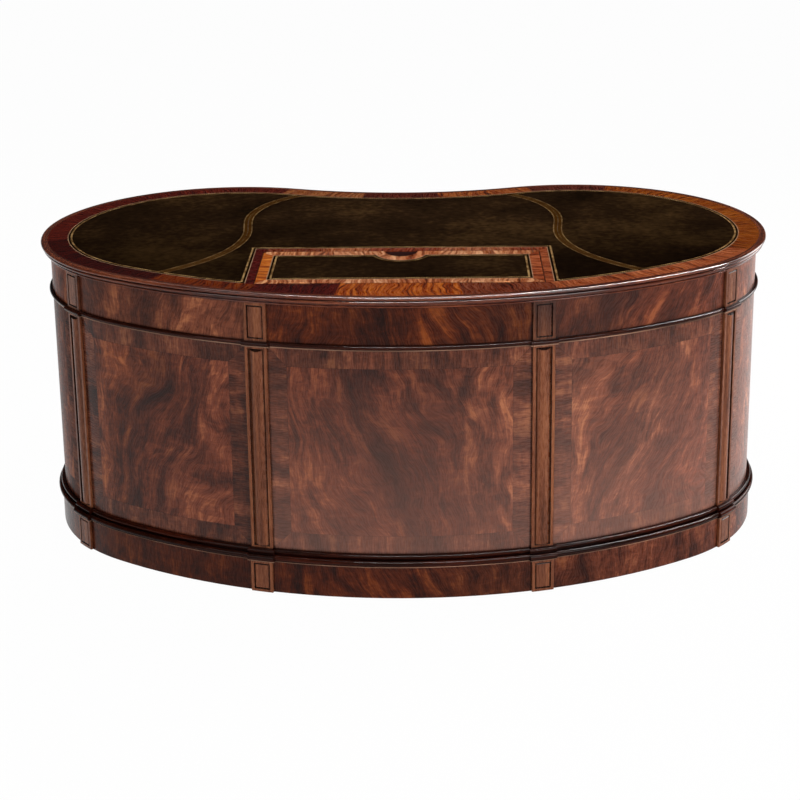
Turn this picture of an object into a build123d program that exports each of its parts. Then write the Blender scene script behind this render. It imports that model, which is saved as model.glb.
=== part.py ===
from build123d import *
from math import asin, atan2, cos, degrees, radians, sin, sqrt
import os

# Kidney shaped pedestal desk. The origin is on the floor under the middle of the desk's box, +Z is
# up, the bowed visitor side faces -Y and the hollow sitter side faces +Y. Lengths are millimetres.
# The plan is drawn about the line through the centres of its round ends, and moved at the end.

# Plan of the body face: a bowed front arc, two round ends and a hollow back arc, all tangent
front_radius = 1290
end_radius = 460
end_centre_x = 470
hollow_radius = 930

# Levels, up from the floor and down from the top
desk_height = 780
glide_height = 4
plinth_top = 87
base_height = 32
waist_height = 14
frieze_height = 95
edge_height = 30

# Boards
skin_thickness = 20
core_thickness = 18
veneer_thickness = 2
plinth_projection = 8
plinth_depth = 28
fit_gap = 0.3
overrun = 60

# Edge moulding of the top: two round beads over a small one, as projections from the body face
edge_back = 8
upper_bead_radius = 4.6
upper_bead_reach = 24
lower_bead_radius = 4.8
lower_bead_reach = 19
edge_quirk_reach = 14
small_bead_radius = 2.4
small_bead_reach = 9

# Waist moulding: a round bead over a thin fillet
waist_reach = 9
waist_fillet_reach = 3.5
waist_bead_share = 0.34

# Base moulding: a bead, a groove, a larger bead and a fillet over the plinth
base_upper_reach = 11
base_groove_reach = 5
base_reach = 18
base_fillet_reach = 12
base_upper_share = 0.17
base_groove_share = 0.1
base_lower_share = 0.21

# Pilasters
pilaster_width = 56
pilaster_projection = 7
pilaster_inner_x = 343
pilaster_outer_share = 0.886
pilaster_recess_width = 41
pilaster_recess_depth = 5
pilaster_frieze_margin = 6
pilaster_tall_margin = 5
pilaster_plinth_margin = 7
pad_gap = 2
pad_bulge = 8
pad_end_drop = 5.5
pad_bevel = 2
pad_sink = 0.6
moulding_return = 6

# Leather and crossbanding of the top
crossband_width = 54
crossband_reach = 6
surround_half_width = 372
surround_border = 32
leather_seam = 1
seam_far_x = 314
seam_waist_x = 417
seam_waist_y = 120
seam_neck_x = 408
seam_neck_y = -40
seam_bend_x = 452
seam_bend_y = -235
seam_near_x = 600
seam_near_y = -415

# Lid over the cable well
lid_half_width = 348
lid_set_back = 100.9
lid_depth = 281
lid_gap = 2
hinge_gap = 3
lid_border_side = 27
lid_border_front = 34
lid_border_back = 36
notch_half_width = 41
notch_depth = 48
notch_border_side = 28
notch_border_depth = 38

# Lid hinges
hinge_x = 240
hinge_length = 50
hinge_leaf_thickness = 1.2
hinge_leaf_height = 14
knuckle_radius = 2.4
knuckle_relief = 0.5
knuckle_share = 0.33
hinge_pin_radius = 1.2
hinge_running_gap = 0.05

# Cable well
well_ledge = 8
well_wall = 18
well_depth = 70
well_floor = 9
grommet_x = 250
grommet_hole_radius = 32
grommet_wall = 3
grommet_flange = 5
grommet_lip = 2.5

# Pedestals
kneehole_half_width = 300
side_thickness = 18
stile_share = 0.798
stile_width = 33
divider_thickness = 14
file_drawer_share = 0.5958
board_past_drawer = 40
guide_width = 10
guide_height = 22

# Drawers
drawer_gap = 1.5
drawer_front_thickness = 20
drawer_wall = 12
drawer_bottom = 6
drawer_bottom_rise = 8
pedestal_drawer_room = 34
centre_drawer_room = 134
frieze_box_drop = 8
box_drop = 16
guide_clearance = 1
runner_width = 14
runner_height = 12

# Brasses
rose_radius = 13
rose_thickness = 2.5
neck_radius = 6
knob_neck_length = 11
knob_radius = 15
knob_thickness = 12
knob_place_share = 0.24
escutcheon_radius = 10
escutcheon_thickness = 1.2
keyhole_radius = 2.4
keyhole_slot = 2.4
keyhole_drop = 7
brass_seat = 0.6

# Floor glides, with the turns of those that lie round each end
glide_radius = 11
glide_turns = (105, 150, 195)

# Derived places
front_centre_y = sqrt((front_radius - end_radius) ** 2 - end_centre_x ** 2)
hollow_centre_y = sqrt((hollow_radius + end_radius) ** 2 - end_centre_x ** 2)
front_turn = degrees(atan2(end_centre_x, front_centre_y))
hollow_turn = degrees(atan2(end_centre_x, hollow_centre_y))
front_join_x = front_radius * sin(radians(front_turn))
hollow_join_x = hollow_radius * sin(radians(hollow_turn))
half_width = end_centre_x + end_radius
base_top = plinth_top + base_height
edge_bottom = desk_height - edge_height
waist_top = edge_bottom - frieze_height
waist_bottom = waist_top - waist_height
file_drawer_top = base_top + (waist_bottom - base_top) * file_drawer_share
core_top = desk_height - veneer_thickness
core_bottom = core_top - core_thickness
lid_front_y = front_centre_y - front_radius + lid_set_back
lid_back_y = lid_front_y + lid_depth
surround_back_y = lid_back_y + surround_border
lid_hinge_y = lid_front_y - hinge_gap / 2
opening_front_y = lid_front_y - hinge_gap
opening_back_y = lid_back_y + lid_gap
opening_half_width = lid_half_width + lid_gap
leather_inset = crossband_width - crossband_reach
stile_inner_x = half_width * stile_share
stile_outer_x = stile_inner_x + stile_width
pedestal_drawer_back_y = lid_back_y + pedestal_drawer_room
centre_drawer_back_y = lid_back_y + centre_drawer_room
carcase_back_y = pedestal_drawer_back_y - board_past_drawer
pilaster_outer_x = half_width * pilaster_outer_share
pilaster_places = (-pilaster_outer_x, -pilaster_inner_x, pilaster_inner_x, pilaster_outer_x)
plan_shift = (front_radius - front_centre_y - end_radius) / 2


def heading(turn):
    """Outward direction at a turn in degrees, where zero faces the visitor and the turn grows to +X."""
    return sin(radians(turn)), -cos(radians(turn))


def kidney_face(offset):
    """The plan outline, moved outwards by an offset."""
    front_x, front_y = heading(front_turn)
    back_x, back_y = heading(180 + hollow_turn)
    reach = end_radius + offset
    front_join = (end_centre_x + reach * front_x, reach * front_y)
    back_join = (end_centre_x + reach * back_x, reach * back_y)
    front_mid = (0, front_centre_y - front_radius - offset)
    back_mid = (0, hollow_centre_y - hollow_radius + offset)
    end_mid = (end_centre_x + reach, 0)
    front = ThreePointArc((-front_join[0], front_join[1]), front_mid, front_join)
    right = ThreePointArc(front_join, end_mid, back_join)
    hollow = ThreePointArc(back_join, back_mid, (-back_join[0], back_join[1]))
    left = ThreePointArc((-back_join[0], back_join[1]), (-end_mid[0], 0), (-front_join[0], front_join[1]))
    return make_face([front, right, hollow, left])


def kidney(offset, low, high):
    """A board of the plan shape between two levels."""
    return Pos(0, 0, low) * extrude(kidney_face(offset), high - low)


def band(outer, inner, low, high):
    """A wall that follows the plan shape, between two offsets and two levels."""
    return kidney(outer, low, high) - kidney(inner, low - overrun, high + overrun)


def block(x, y, z):
    """A box between the lowest and highest x, y and z."""
    size = Box(x[1] - x[0], y[1] - y[0], z[1] - z[0])
    return Pos((x[0] + x[1]) / 2, (y[0] + y[1]) / 2, (z[0] + z[1]) / 2) * size


def station_turn(x):
    """Centre, radius and turn of the visitor side outline at a place across the desk."""
    if abs(x) <= front_join_x:
        return (0, front_centre_y), front_radius, degrees(asin(x / front_radius))
    side = 1 if x > 0 else -1
    return (side * end_centre_x, 0), end_radius, side * degrees(asin((abs(x) - end_centre_x) / end_radius))


def station(x):
    """A plane on the visitor side's body face: its -Y points outwards, its X runs along the face."""
    centre, radius, turn = station_turn(x)
    out = heading(turn)
    origin = (centre[0] + radius * out[0], centre[1] + radius * out[1], 0)
    return Plane(origin=origin, x_dir=(-out[1], out[0], 0), z_dir=(0, 0, 1))


def slab(x, width, low, high):
    """A block across the body face at a pilaster, deep enough to cut every wall there."""
    return station(x) * Pos(0, 0, (low + high) / 2) * Box(width, 2 * overrun, high - low)


def turned(outline, centre, radius, start, span, sign=1):
    """A moulding section turned about one arc of the plan, and mirrored where the arc is hollow."""
    out = heading(start)
    plane = Plane(origin=(centre[0], centre[1], 0), x_dir=(out[0], out[1], 0), z_dir=(out[1], -out[0], 0))
    profile = plane * (Pos(radius, 0) * (outline if sign > 0 else mirror(outline, about=Plane.YZ)))
    return revolve(profile, Axis((centre[0], centre[1], 0), (0, 0, 1)), span)


def moulding(outline):
    """A moulding all round the desk: front, right end, hollow and left end."""
    end_span = 180 + hollow_turn - front_turn
    front = turned(outline, (0, front_centre_y), front_radius, -front_turn, 2 * front_turn)
    right = turned(outline, (end_centre_x, 0), end_radius, front_turn, end_span)
    left = mirror(right, about=Plane.YZ)
    hollow = turned(outline, (0, hollow_centre_y), hollow_radius, -hollow_turn, 2 * hollow_turn, -1)
    return front + right + left + hollow


def at_pilaster(outline, x):
    """A section turned across one pilaster and a little past its sides."""
    centre, radius, turn = station_turn(x)
    half = degrees(asin((pilaster_width / 2 + moulding_return) / radius))
    return turned(outline, centre, radius, turn - half, 2 * half)


def wall_room(low, high):
    """A section that clears every wall and moulding between two levels."""
    return Pos(0, (low + high) / 2) * Rectangle(2 * overrun, high - low + 2 * overrun)


def broken_moulding(section, low, high, stops):
    """A moulding in lengths, open on the sitter side, which steps forward round each pilaster."""
    ring = moulding(section(0))
    for stop in stops:
        ring -= stop
    for x in pilaster_places:
        ring -= at_pilaster(wall_room(low, high), x)
    steps = [at_pilaster(section(pilaster_projection), x) for x in pilaster_places if x > 0]
    middle = [length for length in solids(ring) if abs(length.center().X) < pilaster_width]
    right = [length for length in solids(ring) if length.center().X > pilaster_width]
    return group(*middle, *both_sides(group(*right, *steps)))


def solids(shape):
    """The separate solids of a shape, from left to right."""
    return sorted(shape.solids(), key=lambda solid: solid.center().X)


def group(*shapes):
    """Separate solids kept together in one node."""
    return Compound([solid for shape in shapes for solid in shape.solids()])


def half_round(x, middle, radius):
    """The round nose of a bead, in two quarters that meet at its middle."""
    return [CenterArc((x, middle), radius, -90, 90), CenterArc((x, middle), radius, 0, 90)]


def edge_profile():
    """Section of the top's edge: projection from the body face, and height."""
    lower_top = desk_height - 2 * upper_bead_radius - small_bead_radius / 2
    lower_bottom = lower_top - 2 * lower_bead_radius
    small_top = edge_bottom + 2 * small_bead_radius
    upper_centre = upper_bead_reach - upper_bead_radius
    lower_centre = lower_bead_reach - lower_bead_radius
    small_centre = small_bead_reach - small_bead_radius
    upper_mid = desk_height - upper_bead_radius
    upper_bottom = upper_mid - upper_bead_radius
    return make_face([
        Polyline((0, core_bottom), (-edge_back, core_bottom), (-edge_back, core_top),
                 (crossband_reach, core_top), (crossband_reach, desk_height), (upper_centre, desk_height)),
        *half_round(upper_centre, upper_mid, upper_bead_radius),
        Polyline((upper_centre, upper_bottom), (edge_quirk_reach, upper_bottom),
                 (edge_quirk_reach, lower_top), (lower_centre, lower_top)),
        *half_round(lower_centre, lower_top - lower_bead_radius, lower_bead_radius),
        Polyline((lower_centre, lower_bottom), (small_centre, lower_bottom), (small_centre, small_top)),
        *half_round(small_centre, small_top - small_bead_radius, small_bead_radius),
        Polyline((small_centre, edge_bottom), (0, edge_bottom), (0, core_bottom)),
    ])


def waist_profile(step):
    """Section of the waist moulding, stepped forward by an amount."""
    radius = waist_height * waist_bead_share
    bead = step + waist_reach - radius
    fillet = step + waist_fillet_reach
    return make_face([
        Polyline((bead, waist_top), (-skin_thickness, waist_top), (-skin_thickness, waist_bottom),
                 (fillet, waist_bottom), (fillet, waist_top - 2 * radius), (bead, waist_top - 2 * radius)),
        *half_round(bead, waist_top - radius, radius),
    ])


def base_profile(step):
    """Section of the base moulding, stepped forward by an amount."""
    upper_radius = base_height * base_upper_share
    lower_radius = base_height * base_lower_share
    upper = step + base_upper_reach - upper_radius
    upper_bottom = base_top - 2 * upper_radius
    lower = step + base_reach - lower_radius
    lower_top = upper_bottom - base_height * base_groove_share
    lower_bottom = lower_top - 2 * lower_radius
    groove = step + base_groove_reach
    fillet = step + base_fillet_reach
    return make_face([
        Polyline((lower, lower_bottom), (fillet, lower_bottom), (fillet, plinth_top),
                 (-skin_thickness, plinth_top), (-skin_thickness, base_top), (upper, base_top)),
        *half_round(upper, base_top - upper_radius, upper_radius),
        Polyline((upper, upper_bottom), (groove, upper_bottom), (groove, lower_top), (lower, lower_top)),
        *half_round(lower, lower_top - lower_radius, lower_radius),
    ])


def hinge_rod(x, radius, length):
    """A round bar along the lid's hinge line."""
    return Pos(x, lid_hinge_y, desk_height) * Rot(0, 90, 0) * Cylinder(radius, length)


def hinge_reliefs():
    """Scoops in the woodwork that leave room for the knuckles."""
    radius = knuckle_radius + knuckle_relief
    length = hinge_length + 2 * knuckle_relief
    return [hinge_rod(x, radius, length) for x in (-hinge_x, hinge_x)]


def lid_opening():
    """The rectangular opening in the top that the lid closes."""
    return block((-opening_half_width, opening_half_width), (opening_front_y, opening_back_y),
                 (core_bottom - overrun, desk_height + overrun))


def surround_block():
    """The veneered rectangle that frames the lid and runs out to the visitor edge."""
    return block((-surround_half_width, surround_half_width), (-front_radius, surround_back_y),
                 (core_top - overrun, desk_height + overrun))


def top_core():
    """The board under the veneer and the leather."""
    return kidney(-edge_back, core_bottom, core_top) - lid_opening() - hinge_reliefs()


def top_crossband():
    """The veneered border of the top and the frame round the lid, in one plane with the leather."""
    sheet = kidney(crossband_reach, core_top, desk_height)
    middle = kidney(-leather_inset, core_top - overrun, desk_height + overrun) - surround_block()
    return sheet - middle - lid_opening() - hinge_reliefs()


def seam_curve(side, grow):
    """One of the two S shaped seams between the leathers, from the hollow to the visitor edge."""
    far_y = hollow_centre_y - hollow_radius
    points = [
        (seam_far_x - 2 * overrun, far_y + overrun / 2),
        (seam_far_x, far_y - leather_inset / 2),
        (seam_waist_x, seam_waist_y),
        (seam_neck_x, seam_neck_y),
        (seam_bend_x, seam_bend_y),
        (seam_near_x, seam_near_y),
        (seam_near_x + 3 * overrun, seam_near_y - 2 * overrun),
    ]
    return Spline(*[(side * (x + grow), y) for x, y in points])


def seam_region(grow):
    """The middle of the top, between the two seams."""
    right = seam_curve(1, grow)
    left = seam_curve(-1, grow)
    x = (right @ 1).X
    ahead = Polyline(right @ 1, (x, -front_radius), (-x, -front_radius), left @ 1)
    outline = [right, ahead, left, Line(left @ 0, right @ 0)]
    return Pos(0, 0, core_top - overrun) * extrude(make_face(outline), 2 * overrun)


def leather_sheet():
    """All the leather of the top before it is cut at the seams."""
    return kidney(-leather_inset, core_top, desk_height) - surround_block()


def leathers():
    """The left, middle and right leathers."""
    left, right = solids(leather_sheet() - seam_region(leather_seam))
    return left, leather_sheet() & seam_region(0), right


def notch(width, depth, low, high):
    """The half moon at the sitter edge of the lid."""
    return Pos(0, lid_back_y, low) * extrude(Ellipse(width, depth), high - low)


def lid_leather():
    """The lid's leather, which bends round the finger notch."""
    sheet = block((-lid_half_width + lid_border_side, lid_half_width - lid_border_side),
                  (lid_front_y + lid_border_front, lid_back_y - lid_border_back), (core_top, desk_height))
    bulge = notch(notch_half_width + notch_border_side, notch_depth + notch_border_depth,
                  core_top - overrun, desk_height + overrun)
    return sheet - bulge


def lid_board():
    """The crossbanded lid board, recessed for its leather and cut for a finger."""
    board = block((-lid_half_width, lid_half_width), (lid_front_y, lid_back_y),
                  (core_bottom + fit_gap, desk_height))
    finger = notch(notch_half_width, notch_depth, core_bottom - overrun, desk_height + overrun)
    return board - lid_leather() - finger - hinge_reliefs()


def knuckle_spans():
    """Lengths of the two outer knuckles and of the middle one, and the places of the outer ones."""
    outer = hinge_length * knuckle_share - fit_gap / 2
    middle = hinge_length - 2 * outer - 2 * fit_gap
    place = (hinge_length - outer) / 2
    return outer, middle, place


def hinge_leaf(x, side_of_gap, keep, clear):
    """A hinge leaf against one face of the gap, with its own knuckles and room for the others."""
    face = lid_hinge_y + side_of_gap * hinge_gap / 2
    inner = face - side_of_gap * hinge_leaf_thickness
    plate = block((x - hinge_length / 2, x + hinge_length / 2), (min(face, inner), max(face, inner)),
                  (desk_height - hinge_leaf_height, desk_height))
    for place, length in clear:
        plate -= hinge_rod(x + place, knuckle_radius + knuckle_relief, length + 2 * fit_gap)
    for place, length in keep:
        plate += hinge_rod(x + place, knuckle_radius, length)
    return plate - hinge_rod(x, hinge_pin_radius + hinge_running_gap, hinge_length + overrun)


def lid_hinges():
    """The fixed leaves, the moving leaves and the pins of both hinges."""
    outer, middle, place = knuckle_spans()
    ends = [(-place, outer), (place, outer)]
    centre = [(0, middle)]
    fixed = [hinge_leaf(x, -1, ends, centre) for x in (-hinge_x, hinge_x)]
    moving = [hinge_leaf(x, 1, centre, ends) for x in (-hinge_x, hinge_x)]
    pins = [hinge_rod(x, hinge_pin_radius, hinge_length) for x in (-hinge_x, hinge_x)]
    return group(*fixed), group(*moving), group(*pins)


# The well's inner and outer faces, and its bottom
well_inner_x = opening_half_width - well_ledge
well_outer_x = well_inner_x + well_wall
well_inner_y = (opening_front_y + well_ledge, opening_back_y - well_ledge)
well_outer_y = (well_inner_y[0] - well_wall, well_inner_y[1] + well_wall)
well_bottom = core_bottom - well_depth


def cable_well():
    """The open box under the lid: four walls, whose top edges carry the lid, and a floor with two holes."""
    height = (well_bottom, core_bottom)
    left = block((-well_outer_x, -well_inner_x), well_inner_y, height)
    right = block((well_inner_x, well_outer_x), well_inner_y, height)
    front = block((-well_outer_x, well_outer_x), (well_outer_y[0], well_inner_y[0]), height)
    back = block((-well_outer_x, well_outer_x), (well_inner_y[1], well_outer_y[1]), height)
    floor = block((-well_inner_x, well_inner_x), well_inner_y, (well_bottom, well_bottom + well_floor))
    middle_y = (well_inner_y[0] + well_inner_y[1]) / 2
    for x in (-grommet_x, grommet_x):
        floor -= Pos(x, middle_y, well_bottom) * Cylinder(grommet_hole_radius, overrun)
    return group(left, right, front, back, floor)


def cable_grommets():
    """A flanged ring in each cable hole of the well."""
    top = well_bottom + well_floor
    outer = grommet_hole_radius - fit_gap
    bore = outer - grommet_wall
    flange = grommet_hole_radius + grommet_flange
    section = make_face(Polyline((bore, well_bottom), (outer, well_bottom), (outer, top), (flange, top),
                                 (flange, top + grommet_lip / 2), (outer, top + grommet_lip),
                                 (bore, top + grommet_lip), (bore, well_bottom)))
    ring = revolve(Plane.XZ * section, Axis.Z)
    middle_y = (well_inner_y[0] + well_inner_y[1]) / 2
    return group(*[Pos(x, middle_y, 0) * ring for x in (-grommet_x, grommet_x)])


def sitter_gap(half, low, high):
    """The space behind the desk between two upright planes."""
    return block((-half, half), (0, front_radius), (low - overrun, high + overrun))


def wall_segments(outer, inner, low, high):
    """A wall round the visitor side, cut into five by the pilasters."""
    wall = band(outer, inner, low, high) - sitter_gap(stile_outer_x, low, high)
    for x in pilaster_places:
        wall -= slab(x, pilaster_width, low - overrun, high + overrun)
    return solids(wall)


def pad(x, width, depth, low, high, crown):
    """The strip in a pilaster's recess: a D bead whose upper end slopes, or a pad with bevelled edges."""
    if crown:
        section = make_face([Line((-width / 2, 0), (width / 2, 0)),
                             ThreePointArc((width / 2, 0), (0, -depth), (-width / 2, 0))])
        slope = make_face(Polyline((0, high), (-2 * depth, high), (-2 * depth, high - 2 * pad_end_drop),
                                   (0, high)))
        return Pos(0, 0, low) * extrude(section, high - low) - extrude(Plane.YZ * slope, width, both=True)
    blank = block((-width / 2, width / 2), (-depth, 0), (low, high))
    return chamfer(blank.faces().sort_by(Axis.Y)[0].edges(), pad_bevel)


def pilaster_tier(x, low, high, face, margin, crown=False):
    """One height of a pilaster: a recessed block and the strip in its recess."""
    body = band(face, -skin_thickness, low, high) & slab(x, pilaster_width, low, high)
    floor = face - pilaster_recess_depth
    recess_low = low + margin
    recess_high = high - margin
    recess = slab(x, pilaster_recess_width, recess_low, recess_high)
    recess -= kidney(floor, low - overrun, high + overrun)
    width = pilaster_recess_width - 2 * pad_gap
    depth = pad_bulge if crown else pilaster_recess_depth
    strip = pad(x, width, depth, recess_low + pad_gap, recess_high - pad_gap, crown)
    strip = station(x) * Pos(0, pad_sink - floor, 0) * strip
    strip -= kidney(floor, low - overrun, high + overrun)
    return [body - recess, strip]


def pilaster(x):
    """A pilaster's frieze block, tall block and plinth block, each with its strip."""
    frieze = pilaster_tier(x, waist_top, edge_bottom, pilaster_projection, pilaster_frieze_margin)
    tall = pilaster_tier(x, base_top, waist_bottom, pilaster_projection, pilaster_tall_margin, True)
    foot_face = plinth_projection + pilaster_projection
    foot = pilaster_tier(x, glide_height, plinth_top, foot_face, pilaster_plinth_margin)
    behind = band(0, -skin_thickness, edge_bottom, core_bottom)
    frieze[0] += behind & slab(x, pilaster_width, edge_bottom, core_bottom)
    return group(*frieze, *tall, *foot)


def waist_moulding():
    """The moulding between the frieze and the panels, which ends square to its run at the stiles."""
    stile_turn = 180 - degrees(asin((stile_outer_x - end_centre_x) / end_radius))
    past_stile = turned(wall_room(waist_bottom, waist_top), (end_centre_x, 0), end_radius, stile_turn,
                        180 - stile_turn)
    behind = sitter_gap(stile_outer_x, waist_bottom, waist_top)
    stops = (past_stile, mirror(past_stile, about=Plane.YZ), behind)
    return broken_moulding(waist_profile, waist_bottom, waist_top, stops)


def base_moulding():
    """The moulding over the plinth, open at the kneehole."""
    stops = [sitter_gap(kneehole_half_width, plinth_top, base_top)]
    return broken_moulding(base_profile, plinth_top, base_top, stops)


def plinth():
    """The plinth wall, open at the kneehole and cut out for the pilasters' foot blocks."""
    wall = band(plinth_projection, plinth_projection - plinth_depth, glide_height, plinth_top)
    for x in pilaster_places:
        wall -= slab(x, pilaster_width, 0, plinth_top + overrun)
    return group(wall - sitter_gap(kneehole_half_width, glide_height, plinth_top))


def both_sides(right):
    """A right-hand shape and its mirror image, as left and right."""
    return mirror(right, about=Plane.YZ), right


def trimmed(x, y, z, offset):
    """A board cut to the plan shape at an offset."""
    return block(x, y, z) & kidney(offset, z[0] - overrun, z[1] + overrun)


def kneehole_side():
    """The right wall of the kneehole, whose sitter edge shows beside the drawers."""
    x = (kneehole_half_width, kneehole_half_width + side_thickness)
    near = trimmed(x, (-front_radius, 0), (glide_height, core_bottom), -skin_thickness)
    foot = trimmed(x, (0, front_radius), (glide_height, base_top), -skin_thickness)
    edge = trimmed(x, (0, front_radius), (base_top, core_bottom), 0)
    well = block((0, well_outer_x), well_outer_y, (well_bottom, core_bottom + overrun))
    return near + foot + edge - well


# Where the right pedestal's boards start, and where its drawer boxes lie
pedestal_inner_x = kneehole_half_width + side_thickness
box_x = (pedestal_inner_x + guide_clearance, stile_inner_x - guide_width - guide_clearance)
front_x = (pedestal_inner_x + drawer_gap, stile_inner_x - drawer_gap)


def pedestal_base():
    """The right pedestal's floor board, inside the base moulding."""
    return trimmed((pedestal_inner_x, half_width), (-front_radius, front_radius),
                   (base_top - side_thickness, base_top), -skin_thickness)


def divider(low, high):
    """A board between two drawers, whose edge shows between the stiles."""
    y = (carcase_back_y, front_radius)
    board = trimmed((pedestal_inner_x, half_width), y, (low, high), -skin_thickness)
    return board + trimmed((pedestal_inner_x, stile_inner_x), (0, front_radius), (low, high), 0)


def guide(level):
    """The strip that keeps a drawer box straight, on the board under it."""
    x = (stile_inner_x - guide_width, stile_inner_x)
    y = (carcase_back_y, front_radius)
    return trimmed(x, y, (level, level + guide_height), -skin_thickness - fit_gap)


def pedestal_dividers():
    """The right pedestal's two drawer boards and its three guides."""
    upper = divider(waist_bottom, waist_top)
    lower = divider(file_drawer_top, file_drawer_top + divider_thickness)
    levels = (base_top, file_drawer_top + divider_thickness, waist_top)
    return group(upper, lower, *[guide(level) for level in levels])


def sitter_frame():
    """The stiles outside the drawers and the rails over them."""
    stile = trimmed((stile_inner_x, stile_outer_x), (0, front_radius), (base_top, core_bottom), 0)
    stile -= kidney(-skin_thickness, base_top - overrun, core_bottom + overrun)
    rail_level = (edge_bottom, core_bottom)
    rails = [(-stile_inner_x, -pedestal_inner_x), (-kneehole_half_width, kneehole_half_width),
             (pedestal_inner_x, stile_inner_x)]
    inside = kidney(-skin_thickness, edge_bottom - overrun, core_bottom + overrun)
    rails = [trimmed(x, (0, front_radius), rail_level, 0) - inside for x in rails]
    return group(*both_sides(stile), *rails)


def floor_glides():
    """Round glides under the plinth and under the sitter ends of the kneehole walls."""
    offset = plinth_projection - plinth_depth / 2
    glides = []
    for x in pilaster_places:
        glides.append(station(x) * Pos(0, -offset, glide_height / 2) * Cylinder(glide_radius, glide_height))
    for turn in glide_turns:
        out = heading(turn)
        reach = end_radius + offset
        for side in (-1, 1):
            place = Pos(side * (end_centre_x + reach * out[0]), reach * out[1], glide_height / 2)
            glides.append(place * Cylinder(glide_radius, glide_height))
    return group(*glides)


def sitter_station(x, level):
    """A plane on the sitter side outline: its Y points outwards and its X points up."""
    if abs(x) <= hollow_join_x:
        y = hollow_centre_y - sqrt(hollow_radius ** 2 - x ** 2)
        out = (-x / hollow_radius, (hollow_centre_y - y) / hollow_radius)
    else:
        centre_x = end_centre_x if x > 0 else -end_centre_x
        y = sqrt(end_radius ** 2 - (x - centre_x) ** 2)
        out = ((x - centre_x) / end_radius, y / end_radius)
    return Plane(origin=(x, y, level), x_dir=(0, 0, 1), z_dir=(-out[1], out[0], 0))


knob_foot_shares = (0.8, 0.12)
knob_belly_share = 0.45
knob_crown_shares = (0.72, 0.85)


def knob(x, level):
    """A turned brass knob on a round rose, whose flat back clears the curve of the drawer front."""
    top = rose_thickness + knob_neck_length
    belly = (knob_radius, top + knob_belly_share * knob_thickness)
    foot = (knob_foot_shares[0] * knob_radius, top + knob_foot_shares[1] * knob_thickness)
    crown = (knob_crown_shares[0] * knob_radius, top + knob_crown_shares[1] * knob_thickness)
    section = make_face([
        Polyline((neck_radius, top), (neck_radius, rose_thickness), (rose_radius, rose_thickness / 2),
                 (rose_radius, brass_seat), (0, brass_seat), (0, top + knob_thickness)),
        ThreePointArc((0, top + knob_thickness), crown, belly),
        ThreePointArc(belly, foot, (neck_radius, top)),
    ])
    return sitter_station(x, level) * revolve(section, Axis.Y)


def escutcheon(x, level):
    """A thin flat keyhole plate on the drawer front."""
    plate = Cylinder(escutcheon_radius, escutcheon_thickness) - Cylinder(keyhole_radius, overrun)
    plate -= Pos(-keyhole_drop / 2, 0, 0) * Box(keyhole_drop, keyhole_slot, overrun)
    middle = brass_seat + escutcheon_thickness / 2
    return sitter_station(x, level) * Pos(0, middle, 0) * Rot(-90, 0, 0) * plate


def drawer_front(x, z):
    """A drawer front that follows the plan shape."""
    inside = kidney(-drawer_front_thickness, z[0] - overrun, z[1] + overrun)
    return trimmed(x, (0, front_radius), z, 0) - inside


def drawer_box(x, z, back_y):
    """Two sides, a back and a bottom, which run up to the inside of the curved front."""
    inner_x = (x[0] + drawer_wall, x[1] - drawer_wall)
    sides = [trimmed(side, (back_y, front_radius), z, -drawer_front_thickness)
             for side in ((x[0], inner_x[0]), (inner_x[1], x[1]))]
    back = block(inner_x, (back_y, back_y + drawer_wall), z)
    level = z[0] + drawer_bottom_rise
    bottom = trimmed(inner_x, (back_y + drawer_wall, front_radius), (level, level + drawer_bottom),
                     -drawer_front_thickness)
    return group(*sides, back, bottom)


def drawer_brasses(x, level):
    """Two knobs and a keyhole plate."""
    span = x[1] - x[0]
    places = (x[0] + knob_place_share * span, x[1] - knob_place_share * span)
    return group(*[knob(place, level) for place in places], escutcheon((x[0] + x[1]) / 2, level))


def drawer(x, z, inside_x, inside_z, back_y):
    """The three nodes of one drawer."""
    return {
        "front": drawer_front(x, z),
        "box": drawer_box(inside_x, inside_z, back_y),
        "brasses": drawer_brasses(x, (z[0] + z[1]) / 2),
    }


centre_box_bottom = waist_top + drawer_gap + fit_gap + drawer_gap


def centre_drawer():
    """The drawer over the kneehole."""
    x = (-kneehole_half_width + drawer_gap, kneehole_half_width - drawer_gap)
    inside_x = (-kneehole_half_width + guide_clearance, kneehole_half_width - guide_clearance)
    top = edge_bottom - drawer_gap
    return drawer(x, (waist_top + drawer_gap, top), inside_x, (centre_box_bottom, top - frieze_box_drop),
                  centre_drawer_back_y)


def centre_drawer_runners():
    """The two strips on the kneehole walls that the middle drawer slides on."""
    top = centre_box_bottom - fit_gap
    strip = trimmed((kneehole_half_width - runner_width, kneehole_half_width),
                    (centre_drawer_back_y, front_radius), (top - runner_height, top),
                    -drawer_front_thickness - fit_gap)
    return group(*both_sides(strip))


def pedestal_drawer(floor, ceiling, drop):
    """A right-hand drawer between the board under it and the board or rail over it."""
    top = ceiling - drawer_gap
    box_z = (floor + fit_gap, top - drop)
    return drawer(front_x, (floor + drawer_gap, top), box_x, box_z, pedestal_drawer_back_y)


def drawer_nodes():
    """Every node of the seven drawers."""
    nodes = {"centre_drawer_" + name: shape for name, shape in centre_drawer().items()}
    tiers = {
        "top": (waist_top, edge_bottom, frieze_box_drop),
        "middle": (file_drawer_top + divider_thickness, waist_bottom, box_drop),
        "file": (base_top, file_drawer_top, box_drop),
    }
    for tier, (floor, ceiling, drop) in tiers.items():
        for name, shape in pedestal_drawer(floor, ceiling, drop).items():
            left, right = both_sides(shape)
            nodes["left_" + tier + "_drawer_" + name] = left
            nodes["right_" + tier + "_drawer_" + name] = right
    return nodes


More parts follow.
